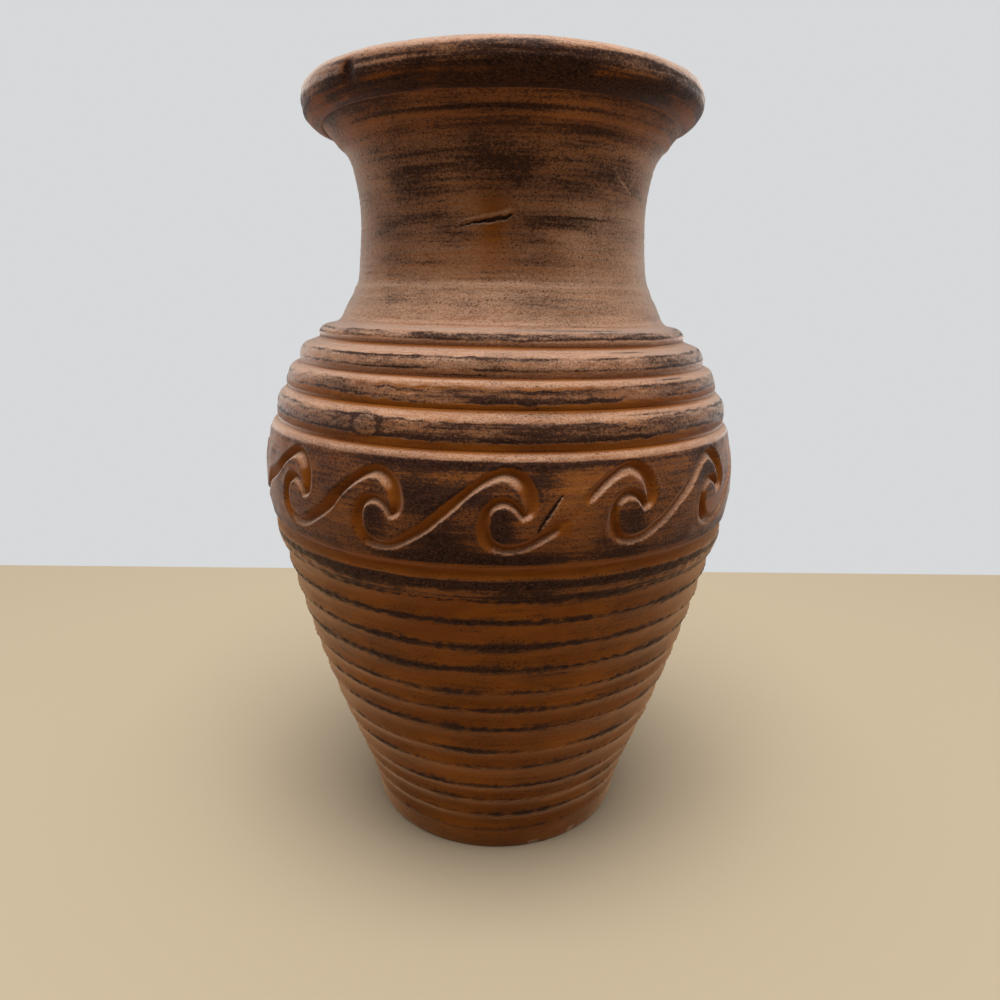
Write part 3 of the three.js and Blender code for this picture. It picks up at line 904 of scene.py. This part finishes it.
def lip_fields(angle, outline):
    """Relief, wash and chalk of the rolled lip: a dark brushed roll, pale over the crown and bare inside.

    The wash is thickened under the roll as painted shade, except at its two sides, where it is thinned as
    painted light, and it thins out towards the crown, whose paleness reaches lower at the sides and on the
    right as painted light. Under the roll no paleness is laid, as painted shade. The relief only cuts into
    the roll, apart from one sag.
    """
    radius, height = outline[:, :1], outline[:, 1:]
    widest = LIP_WIDEST[1]
    outside = ease((radius - LIP_CROWN[1]) / 2)
    under = ease((height - LIP_SEAM - 0.3) / 1)
    pit = spot(angle, height, widest, LIP_PIT, 2) * (radius > LIP_CROWN[1])
    relief = 0.1 * ripple(angle, height, 191, 3, 2.4, 30) + 0.1 * ripple(angle, height, 192, 24, 0.6)
    relief = under * (relief + 0.05 * ripple(angle, height, 193, 120, 4, 60))
    relief = np.minimum(relief - 0.12, 0) - LIP_PIT_DEPTH * pit
    relief = relief + LIP_SAG_DEPTH * spot(angle, height, widest, LIP_SAG) * (radius > LIP_CROWN[1])
    climb = height - LIP_UNDERSIDE
    # Wash thickened under the roll as painted shade
    wash = LIP_WASH + 0.24 * ease((0.4 - climb) / 2) - 0.12 * ease((climb - 3) / 4)
    wash = wash + 0.24 * ripple(angle, height, 194, 12, 3.6, 60) + 0.12 * ripple(angle, height, 195, 40, 0.8)
    # Pale crown reaching lower at the sides and on the right, and wash thinner at the sides and under the
    # roll's sides, as painted light
    crown = ease((height - CROWN_EDGE + 1.3 * sides(angle) + 0.8 * ease(np.sin(angle) / 0.4)) / 1.8)
    wash = wash - 0.12 * sides(angle) - 0.2 * hill(angle + 0.85, 0.4) * ease((climb - 2) / 3)
    wash = wash - 0.6 * sides(angle) * ease(-climb / 2)
    wash = np.clip(wash, 0, 1) * outside * (1 - 0.85 * crown)
    wash = np.maximum(wash, 1.1 * ease((pit - 0.1) / 0.4))
    # No paleness under the roll: painted shade
    return relief, wash, 0.4 * outside * ease((climb - 0.5) / 3) * (1 - ease(pit / 0.3))


# Material


def node(tree, kind, sockets=None, **settings):
    """Adds a node. Sockets maps an input's name or number to a value or to the output that feeds it."""
    made = tree.nodes.new(kind)
    for key, value in settings.items():
        setattr(made, key, value)
    for key, value in (sockets or {}).items():
        if isinstance(value, NodeSocket):
            tree.links.new(value, made.inputs[key])
        else:
            made.inputs[key].default_value = value
    return made


def noise(tree, vector, scale, detail, roughness):
    """Noise value, with its own scale in each direction in features per metre."""
    stretched = node(tree, "ShaderNodeMapping", {"Vector": vector, "Scale": scale})
    made = node(tree, "ShaderNodeTexNoise", {
        "Vector": stretched.outputs[0], "Scale": 1, "Detail": detail, "Roughness": roughness,
    })
    return made.outputs[0]


def times_plus(tree, value, factor, addend):
    """Value times factor plus addend."""
    return node(tree, "ShaderNodeMath", {0: value, 1: factor, 2: addend}, operation="MULTIPLY_ADD").outputs[0]


def times(tree, first, second, clamped=False):
    """Product of two values, held between 0 and 1 where it is clamped."""
    made = node(tree, "ShaderNodeMath", {0: first, 1: second}, operation="MULTIPLY", use_clamp=clamped)
    return made.outputs[0]


def soft_range(tree, value, low, high, to_low=0, to_high=1):
    """Soft step of a value between two limits."""
    made = node(tree, "ShaderNodeMapRange", {
        "Value": value, "From Min": low, "From Max": high, "To Min": to_low, "To Max": to_high,
    }, interpolation_type="SMOOTHSTEP")
    return made.outputs[0]


def blend(tree, factor, first, second):
    """Colour between two colours, each a socket or three numbers."""
    made = node(tree, "ShaderNodeMix", {0: factor}, data_type="RGBA")
    for number, colour in ((6, first), (7, second)):
        if isinstance(colour, NodeSocket):
            tree.links.new(colour, made.inputs[number])
        else:
            made.inputs[number].default_value = (*colour, 1)
    return made.outputs[2]


def clay_material(slot):
    """Fired clay with a dry-brushed dark wash over it.

    The wash holds where the piece's own wash attribute, plus noise in streaks along the wheel, in patches and
    in specks, passes a threshold, and it is worn off again in specks. A thinner stain of it, with dark
    flecks, follows the same attribute softly. The chalk_and_light attribute, mottled by streaks and wear,
    pales the clay as chalk and dust and as painted highlights and painted light, with painted shade where it
    is taken off, and dust lies where that attribute is high and the wash doesn't hold. Streaks read distance
    along the outline, so that they run round on any slope.
    """
    name = f"fired_{slot}"
    material = bpy.data.materials.get(name)
    if material is not None:
        return material
    finish = bpy.context.scene.clay_vase_finish
    material = bpy.data.materials.new(name)
    material.use_nodes = True
    tree = material.node_tree
    shader = tree.nodes["Principled BSDF"]
    spots = node(tree, "ShaderNodeTexCoord").outputs["Object"]
    place = node(tree, "ShaderNodeSeparateXYZ", {0: spots}).outputs
    along = node(tree, "ShaderNodeAttribute", attribute_name="along").outputs["Fac"]
    wash = node(tree, "ShaderNodeAttribute", attribute_name="wash").outputs["Fac"]
    chalk_and_light = node(tree, "ShaderNodeAttribute", attribute_name="chalk_and_light").outputs["Fac"]
    wheel = node(tree, "ShaderNodeCombineXYZ", {0: place[0], 1: place[1], 2: along}).outputs[0]

    streak = noise(tree, wheel, *STREAKS)
    patch = noise(tree, wheel, *PATCHES)
    speck = noise(tree, wheel, *SPECKS)
    soft = times_plus(tree, patch, 1.2, times_plus(tree, streak, 1.5, times_plus(tree, wash, 1, -1.35)))
    stain = soft_range(tree, soft, 0, 0.85, 0, 0.7)
    fleck = noise(tree, wheel, *FLECKS)
    flecks = times(tree, soft_range(tree, fleck, 0.55, 0.65), soft_range(tree, soft, -0.15, 0.4, 0, 0.85))
    middle = 0.5 * (STREAK_WEIGHT + PATCH_WEIGHT + SPECK_WEIGHT)
    cover = times_plus(tree, wash, WASH_WEIGHT, -HOLD_THRESHOLD - middle)
    cover = times_plus(tree, streak, STREAK_WEIGHT, cover)
    cover = times_plus(tree, patch, PATCH_WEIGHT, cover)
    cover = times_plus(tree, speck, SPECK_WEIGHT, cover)
    worn = noise(tree, wheel, *WEAR)
    held = times(tree, soft_range(tree, cover, -0.18, 0.4), soft_range(tree, worn, 0.57, 0.66, 1, 0.3))

    cloud = noise(tree, spots, *CLOUDS)
    grain = noise(tree, spots, *GRAIN)
    line = noise(tree, wheel, *LINES)
    clay = blend(tree, soft_range(tree, cloud, 0.35, 0.65), finish.bare_clay, finish.deep_clay)
    clay = blend(tree, soft_range(tree, line, 0.42, 0.7, 0, 0.5), clay, finish.deep_clay)
    mottle = times_plus(tree, streak, 2, times_plus(tree, worn, 1.8, -1))
    chalk_and_light = times(tree, chalk_and_light, mottle, True)
    clay = blend(tree, chalk_and_light, clay, finish.chalky_and_lit_clay)
    clay = blend(tree, stain, clay, finish.thin_wash)
    clay = blend(tree, flecks, clay, finish.thick_wash)
    clay = blend(tree, soft_range(tree, grain, 0.54, 0.68, 0, 0.6), clay, finish.deep_clay)
    coat = blend(tree, soft_range(tree, speck, 0.35, 0.62), finish.thick_wash, finish.thin_wash)
    colour = blend(tree, held, clay, coat)
    tree.links.new(colour, shader.inputs["Base Color"])

    rough = soft_range(tree, held, 0, 1, finish.clay_roughness, finish.wash_roughness)
    rough = times_plus(tree, grain, 0.16, times_plus(tree, rough, 1, -0.08))
    tree.links.new(rough, shader.inputs["Roughness"])
    shader.inputs["Specular IOR Level"].default_value = finish.gloss
    if slot == "washed_clay":
        dust, on_wash, unchalked, tint = finish.wash_dust, 0.3, 0.28, finish.wash_dust_colour
    else:
        dust, on_wash, unchalked, tint = finish.clay_dust, 0.25, 1, finish.clay_dust_colour
    dust_and_sheen = soft_range(tree, chalk_and_light, 0, 0.45, unchalked, 1)
    dust_and_sheen = times(tree, dust_and_sheen, soft_range(tree, held, 0, 1, dust, on_wash * dust))
    tree.links.new(dust_and_sheen, shader.inputs["Sheen Weight"])
    shader.inputs["Sheen Roughness"].default_value = DUST_ROUGHNESS
    shader.inputs["Sheen Tint"].default_value = (*tint, 1)

    height = times_plus(tree, speck, 0.6, times_plus(tree, grain, 0.4, 0))
    height = times_plus(tree, streak, 0.8, height)
    bump = node(tree, "ShaderNodeBump", {"Height": height, "Strength": BUMP_STRENGTH, "Distance": BUMP_DEPTH})
    tree.links.new(bump.outputs[0], shader.inputs["Normal"])
    return material


# Settings


def colour_setting(name, description, default):
    """Colour as three linear numbers."""
    return FloatVectorProperty(name=name, description=description, default=default, subtype="COLOR",
                               min=0, max=1)


def length_setting(name, description, default):
    """Length in metres."""
    return FloatProperty(name=name, description=description, default=default, unit="LENGTH")


def angle_setting(name, description, degrees):
    """Angle, given in degrees and kept in radians."""
    return FloatProperty(name=name, description=description, default=math.radians(degrees), subtype="ANGLE")


def share_setting(name, description, default):
    """Share from 0 to 1."""
    return FloatProperty(name=name, description=description, default=default, subtype="FACTOR", min=0, max=1)


class ClayVaseShape(PropertyGroup):
    """Sizes of the modelled surface."""

    wave_depth: length_setting("Wave depth", "Depth of the running wave's groove", 0.0019)
    scallop_depth: length_setting("Scallop depth", "Hollow between two rib crests", 0.0008)
    unevenness: length_setting("Unevenness", "How far the thrown wall wanders", 0.0005)


class ClayVaseFinish(PropertyGroup):
    """Colours and gloss of the clay and its wash."""

    bare_clay: colour_setting("Bare clay", "Clay where the wash is gone", (0.235, 0.07, 0.007))
    deep_clay: colour_setting("Deep clay", "Darker clay in its clouds and lines", (0.17, 0.046, 0.005))
    # Pale clay laid on by the chalk_and_light attribute: chalk, rubbed and dusty clay, and also painted
    # highlights and painted light on treads, coves, risers, sides and crown
    chalky_and_lit_clay: colour_setting("Chalky clay", "Rubbed, dusty clay on treads and crown", (0.5, 0.29, 0.185))
    thick_wash: colour_setting("Thick wash", "Wash where it lies thick", (0.012, 0.0045, 0.003))
    thin_wash: colour_setting("Thin wash", "Wash where the clay shows through", (0.045, 0.019, 0.012))
    clay_dust_colour: colour_setting("Clay dust colour", "Dust of the bare sections", (1, 0.66, 0.4))
    wash_dust_colour: colour_setting("Wash dust colour", "Dust of the washed sections", (1, 0.95, 0.92))
    clay_dust: share_setting("Clay dust", "Dust that pales the bare sections at grazing view", 0.85)
    wash_dust: share_setting("Wash dust", "Dust that pales the washed sections at grazing view", 1)
    gloss: share_setting("Gloss", "Mirror light from the matt clay", 0.04)
    clay_roughness: share_setting("Clay roughness", "Roughness of bare clay", 0.52)
    wash_roughness: share_setting("Wash roughness", "Roughness of the wash", 0.42)


class ClayVaseStage(PropertyGroup):
    """Camera, floor and light."""

    eye_distance: length_setting("Eye distance", "From the vase's axis to the lens", 0.3061)
    eye_height: length_setting("Eye height", "Of the lens above the floor", 0.2085)
    tilt: angle_setting("Tilt", "How far the camera looks down", 14.82)
    roll: angle_setting("Roll", "How far the camera leans", 0.6)
    pan: angle_setting("Pan", "How far the camera turns right", 0.09)
    lens: FloatProperty(
        name="Lens", description="Focal length on a 36 mm sensor", default=27.5, min=5, max=200)
    floor_colour: colour_setting("Floor", "Pale board under the vase", (0.42, 0.337, 0.229))
    backdrop_colour: colour_setting("Backdrop", "Pale wall behind the vase", (0.68, 0.69, 0.7))
    floor_depth: length_setting("Floor depth", "Floor behind the vase's axis", 0.265)
    floor_reach: length_setting("Floor reach", "Floor to the sides and in front", 2.5)
    top_power: FloatProperty(
        name="Top light", description="Power of the soft light overhead", default=17, unit="POWER")
    top_lean: angle_setting("Top light lean", "From straight overhead to the front", 14)
    front_dimness: share_setting("Front light", "Share of the backdrop's light from the front", 0.06)
    side_light: FloatProperty(
        name="Side light", description="Share of the backdrop's light from the sides and behind", default=1.4,
        min=0, max=2)


# Operators


class CLAY_OT_foot_disc(Operator):
    """Round slab that closes the bottom, with its boss inside the wall"""

    bl_idname = "clay_vase.foot_disc"
    bl_label = "Foot disc"

    def execute(self, context):
        angle = turn(FOOT_COLUMNS)
        base = body_line(0) - FOOT_BEVEL
        bend = np.linspace(0, np.pi / 2, BEVEL_ROWS)[1:-1]
        bevel = np.column_stack([base + FOOT_BEVEL * np.sin(bend), FOOT_BEVEL * (1 - np.cos(bend))])
        side = np.linspace(FOOT_BEVEL, FOOT_SEAM, FOOT_SIDE_ROWS)
        boss = inner_line(FLOOR_TOP)
        rows = np.vstack([
            np.column_stack([np.linspace(0, base, UNDERSIDE_ROWS), np.zeros(UNDERSIDE_ROWS)]),
            bevel,
            np.column_stack([body_line(side) - 0.2 * hill(side - FOOT_BEVEL, 0.5), side]),
            [[boss, FOOT_SEAM]],
            np.column_stack([np.linspace(boss, 0, FLOOR_ROWS), np.full(FLOOR_ROWS, FLOOR_TOP)]),
        ])
        radius, height = rows[:, :1] + 0 * angle, rows[:, 1:] + 0 * angle
        on_side = ease(height / 2) * ease((FOOT_SEAM - height) / 2) * (radius > boss)
        relief = 0.12 * ripple(angle, height, 201, 9, 0.5) + 0.05 * ripple(angle, height, 202, 70, 2)
        radius = radius + on_side * relief
        chips = sum(spot(angle, height, base, chip) for chip in FOOT_CHIPS)
        radius = radius - CHIP_DEPTH * chips * (radius > base - 1)
        radius, height = uneven(angle, radius, height, context.scene.clay_vase_shape.unevenness / MM)
        boss_row = UNDERSIDE_ROWS + len(bevel) + FOOT_SIDE_ROWS
        sharp = [boss_row - 1, boss_row, boss_row + 1]
        fields = {
            "wash": (WALL_WASH + 0.1 * ripple(angle, height, 203, 6, 0.3)) * on_side
            + RIB_PAINT[0] * hill(height - FOOT_SEAM, 1.2) * (radius > boss + 3),
            "chalk_and_light": np.clip(1.6 * chips, 0, 1),
            "along": outline_length(rows)[:, None] + 0 * angle,
        }
        mesh = clay_mesh("foot_disc", angle, radius, height, False, sharp, fields)
        add_piece("foot_disc", mesh, "bare_clay")
        return {"FINISHED"}


class CLAY_OT_lower_wall(Operator):
    """Flaring wall with its horizontal ribs and the broad ridge above them"""

    bl_idname = "clay_vase.lower_wall"
    bl_label = "Lower wall"

    def execute(self, context):
        depth = context.scene.clay_vase_shape.scallop_depth / MM
        share = 0.5 - 0.5 * np.cos(np.pi * np.arange(SCALLOP_ROWS) / SCALLOP_ROWS)
        low, high = np.array(RIB_CRESTS[:-1])[:, None], np.array(RIB_CRESTS[1:])[:, None]
        ribs = (low + (high - low) * share).ravel()
        hollow = np.tile(depth * np.sin(np.pi * share) ** SCALLOP_POWER, len(low))
        ridge = np.linspace(RIB_CRESTS[-1], RIDGE_TOP, RIDGE_ROWS)
        swell = RIDGE_BULGE * np.sin(np.pi * np.linspace(0, 1, RIDGE_ROWS))
        groove = np.linspace(RIDGE_TOP, BAND_SEAM, GROOVE_ROWS + 1)[1:]
        fall = np.sin(np.pi / 2 * np.arange(1, GROOVE_ROWS + 1) / GROOVE_ROWS)
        lip = body_line(RIDGE_TOP)
        outside = np.vstack([
            np.column_stack([body_line(ribs) - hollow, ribs]),
            np.column_stack([body_line(ridge) + swell, ridge]),
            np.column_stack([lip + (GROOVE_RADIUS - lip) * fall, groove]),
        ])
        scallop = np.r_[hollow, np.zeros(RIDGE_ROWS + GROOVE_ROWS)][:, None]
        relief, wash, chalk_and_light = rib_fields(turn(LOWER_COLUMNS), outside[:, 1:], scallop)
        relief[[0, -1]] = 0
        add_section("lower_wall", "bare_clay", outside, relief, wash, chalk_and_light, foot_seam(),
                    seam_at(BAND_SEAM, GROOVE_RADIUS), LOWER_INNER_ROWS, LOWER_COLUMNS)
        return {"FINISHED"}


class CLAY_OT_frieze_band(Operator):
    """Belly band with the running wave cut into its face"""

    bl_idname = "clay_vase.frieze_band"
    bl_label = "Frieze band"

    def execute(self, context):
        depth = context.scene.clay_vase_shape.wave_depth / MM
        rise = np.linspace(0, 1, GROOVE_ROWS + 1)[:-1]
        low_face = body_line(BAND_FACE_LOW)
        face = np.linspace(BAND_FACE_LOW, BAND_FACE_HIGH, BAND_FACE_ROWS)
        edge = smooth_route([
            (body_line(BAND_FACE_HIGH), BAND_FACE_HIGH), BAND_EDGE[::-1], SHOULDER_CREASES[0][::-1],
        ], BAND_EDGE_ROWS)[1:]
        outside = np.vstack([
            np.column_stack([
                GROOVE_RADIUS + (low_face - GROOVE_RADIUS) * ease(rise),
                BAND_SEAM + (BAND_FACE_LOW - BAND_SEAM) * rise,
            ]),
            np.column_stack([body_line(face), face]),
            edge,
        ])
        relief, wash, chalk_and_light = band_fields(turn(BAND_COLUMNS), outside, depth)
        relief[[0, -1]] = 0
        add_section("frieze_band", "washed_clay", softened(outside, 0, COVE_FILLS[0]), relief, wash, chalk_and_light,
                    seam_at(BAND_SEAM, GROOVE_RADIUS), seam_at(*SHOULDER_CREASES[0]),
                    BAND_INNER_ROWS, BAND_COLUMNS)
        return {"FINISHED"}


class CLAY_OT_shoulder_rings(Operator):
    """Four stepped rings from the band up to the collar"""

    bl_idname = "clay_vase.shoulder_rings"
    bl_label = "Shoulder rings"

    def execute(self, context):
        for step, name in enumerate(RING_NODES):
            creases = SHOULDER_CREASES[step:step + 2]
            stations = [creases[0], *RING_FACES[step], creases[1]]
            outline = smooth_route([(radius, height) for height, radius in stations], RING_ROWS)
            relief, wash, chalk_and_light = ring_fields(turn(RING_COLUMNS), outline, step)
            relief[[0, -1]] = 0
            outline = softened(outline, *COVE_FILLS[step:step + 2])
            add_section(name, "washed_clay", outline, relief, wash, chalk_and_light, seam_at(*creases[0]),
                        seam_at(*creases[1]), RING_INNER_ROWS, RING_COLUMNS)
        return {"FINISHED"}


class CLAY_OT_collar(Operator):
    """Conical collar that carries the neck on the top ring"""

    bl_idname = "clay_vase.collar"
    bl_label = "Collar"

    def execute(self, context):
        height = np.linspace(RING_SEAMS[-1], COLLAR_SEAM, COLLAR_ROWS)
        outline = np.column_stack([neck_line(height), height])
        relief, wash, chalk_and_light = collar_fields(turn(NECK_COLUMNS), outline)
        add_section("collar", "washed_clay", softened(outline, COVE_FILLS[-1], 0), relief, wash, chalk_and_light,
                    seam_at(*SHOULDER_CREASES[-1]), seam_at(COLLAR_SEAM, neck_line(COLLAR_SEAM)),
                    COLLAR_INNER_ROWS, NECK_COLUMNS)
        return {"FINISHED"}


class CLAY_OT_neck(Operator):
    """Waisted neck from the collar up to the lip"""

    bl_idname = "clay_vase.neck"
    bl_label = "Neck"

    def execute(self, context):
        height = np.linspace(COLLAR_SEAM, LIP_SEAM, NECK_ROWS)
        outline = np.column_stack([neck_line(height), height])
        relief, wash, chalk_and_light = neck_fields(turn(NECK_COLUMNS), outline)
        add_section("neck", "washed_clay", outline, relief, wash, chalk_and_light,
                    seam_at(COLLAR_SEAM, neck_line(COLLAR_SEAM)), seam_at(LIP_SEAM, neck_line(LIP_SEAM)),
                    NECK_INNER_ROWS, NECK_COLUMNS)
        return {"FINISHED"}


class CLAY_OT_rim_roll(Operator):
    """Rolled lip: out under the roll, over the crown and down into the mouth"""

    bl_idname = "clay_vase.rim_roll"
    bl_label = "Rim roll"

    def execute(self, context):
        start = (neck_line(LIP_SEAM), LIP_SEAM)
        widest, crown = LIP_WIDEST[::-1], LIP_CROWN[::-1]
        mouth = (inner_line(MOUTH_EDGE), MOUTH_EDGE)
        under = bezier(start, (start[0] + LIP_UNDER_REACH[0], start[1]),
                       (widest[0], widest[1] - LIP_UNDER_REACH[1]), widest, LIP_ROWS[0])
        over = bezier(widest, (widest[0], widest[1] + LIP_OVER_REACH[0]),
                      (crown[0] + LIP_OVER_REACH[1], crown[1]), crown, LIP_ROWS[1])
        inward = bezier(crown, (crown[0] - MOUTH_REACH[0], crown[1]),
                        (mouth[0], mouth[1] + MOUTH_REACH[1]), mouth, LIP_ROWS[2])
        outline = np.vstack([under[:-1], over[:-1], inward])
        relief, wash, chalk_and_light = lip_fields(turn(LIP_COLUMNS), outline)
        relief[0] = 0
        add_section("rim_roll", "washed_clay", outline, relief, wash, chalk_and_light,
                    seam_at(LIP_SEAM, neck_line(LIP_SEAM)), None, LIP_INNER_ROWS, LIP_COLUMNS)
        return {"FINISHED"}


class CLAY_OT_stage(Operator):
    """Floor, backdrop, soft light and camera"""

    bl_idname = "clay_vase.stage"
    bl_label = "Stage"

    def execute(self, context):
        stage = context.scene.clay_vase_stage
        context.scene.view_settings.view_transform = "Standard"
        add_floor(stage)
        add_world(stage)
        add_top_light(stage)
        add_camera(stage)
        return {"FINISHED"}


def add_floor(stage):
    """Plain pale board that ends behind the vase, a flat grid of one face."""
    reach, depth = stage.floor_reach, stage.floor_depth
    corners = [(-reach, -reach, 0), (reach, -reach, 0), (reach, depth, 0), (-reach, depth, 0)]
    mesh = bpy.data.meshes.new("floor")
    mesh.from_pydata(corners, [], [(0, 1, 2, 3)])
    material = bpy.data.materials.new("pale_floor")
    material.use_nodes = True
    shader = material.node_tree.nodes["Principled BSDF"]
    shader.inputs["Base Color"].default_value = (*stage.floor_colour, 1)
    shader.inputs["Roughness"].default_value = FLOOR_ROUGHNESS
    shader.inputs["Specular IOR Level"].default_value = FLOOR_GLOSS
    mesh.materials.append(material)
    floor = bpy.data.objects.new("floor", mesh)
    bpy.context.scene.collection.objects.link(floor)


def add_world(stage):
    """Backdrop: seen plain, also in reflections, and its light is dim from the front and full elsewhere."""
    world = bpy.data.worlds.new("studio")
    bpy.context.scene.world = world
    world.use_nodes = True
    tree = world.node_tree
    tree.nodes.clear()
    colour = (*stage.backdrop_colour, 1)
    direction = node(tree, "ShaderNodeTexCoord").outputs["Generated"]
    ahead = node(tree, "ShaderNodeSeparateXYZ", {0: direction}).outputs[1]
    strength = soft_range(tree, ahead, -0.85, -0.05, stage.front_dimness, stage.side_light)
    light = node(tree, "ShaderNodeBackground", {"Color": colour, "Strength": strength})
    seen = node(tree, "ShaderNodeBackground", {"Color": colour, "Strength": 1})
    path = node(tree, "ShaderNodeLightPath").outputs
    direct = path["Is Camera Ray"]
    for kind in ("Is Glossy Ray", "Is Transmission Ray"):
        direct = node(tree, "ShaderNodeMath", {0: direct, 1: path[kind]}, operation="MAXIMUM").outputs[0]
    mixed = node(tree, "ShaderNodeMixShader", {0: direct, 1: light.outputs[0], 2: seen.outputs[0]})
    node(tree, "ShaderNodeOutputWorld", {"Surface": mixed.outputs[0]})


def add_top_light(stage):
    """Large soft light overhead, a little in front of the vase and aimed at it."""
    lamp = bpy.data.lights.new("top_light", "AREA")
    lamp.shape = "RECTANGLE"
    lamp.size, lamp.size_y = LAMP_SIZE
    lamp.energy = stage.top_power
    holder = bpy.data.objects.new("top_light", lamp)
    lean = Matrix.Rotation(stage.top_lean, 4, "X")
    aim, distance = Matrix.Translation((0, 0, LAMP_AIM)), Matrix.Translation((0, 0, LAMP_DISTANCE))
    holder.matrix_world = aim @ lean @ distance
    bpy.context.scene.collection.objects.link(holder)


def add_camera(stage):
    """Camera in front of the vase, tilted down, with a slight lean."""
    data = bpy.data.cameras.new("camera")
    data.sensor_width = SENSOR_WIDTH
    data.lens = stage.lens
    camera = bpy.data.objects.new("camera", data)
    aim = Matrix.Rotation(-stage.pan, 4, "Z") @ Matrix.Rotation(math.pi / 2 - stage.tilt, 4, "X")
    place = Matrix.Translation((0, -stage.eye_distance, stage.eye_height))
    camera.matrix_world = place @ aim @ Matrix.Rotation(stage.roll, 4, "Z")
    bpy.context.scene.collection.objects.link(camera)
    bpy.context.scene.camera = camera


PIECES = (
    CLAY_OT_foot_disc, CLAY_OT_lower_wall, CLAY_OT_frieze_band, CLAY_OT_shoulder_rings, CLAY_OT_collar,
    CLAY_OT_neck, CLAY_OT_rim_roll, CLAY_OT_stage,
)
SETTINGS = {
    "clay_vase_shape": ClayVaseShape, "clay_vase_finish": ClayVaseFinish, "clay_vase_stage": ClayVaseStage,
}


class CLAY_PT_vase(Panel):
    """The vase's settings, and a button for each of its pieces"""

    bl_idname = "CLAY_PT_vase"
    bl_label = "Clay Vase"
    bl_space_type = "VIEW_3D"
    bl_region_type = "UI"
    bl_category = "Clay Vase"

    def draw(self, context):
        for name in SETTINGS:
            box = self.layout.box()
            settings = getattr(context.scene, name)
            for key in settings.bl_rna.properties.keys():
                if key not in ("rna_type", "name"):
                    box.prop(settings, key)
        for piece in PIECES:
            self.layout.operator(piece.bl_idname)


def register():
    for group in (*SETTINGS.values(), *PIECES, CLAY_PT_vase):
        bpy.utils.register_class(group)
    for name, group in SETTINGS.items():
        setattr(bpy.types.Scene, name, PointerProperty(type=group))


def unregister():
    for name in SETTINGS:
        delattr(bpy.types.Scene, name)
    for group in (CLAY_PT_vase, *reversed(PIECES), *SETTINGS.values()):
        bpy.utils.unregister_class(group)


def main():
    register()
    bpy.ops.clay_vase.foot_disc()
    bpy.ops.clay_vase.lower_wall()
    bpy.ops.clay_vase.frieze_band()
    bpy.ops.clay_vase.shoulder_rings()
    bpy.ops.clay_vase.collar()
    bpy.ops.clay_vase.neck()
    bpy.ops.clay_vase.rim_roll()
    bpy.ops.clay_vase.stage()


if __name__ == "__main__":
    main()
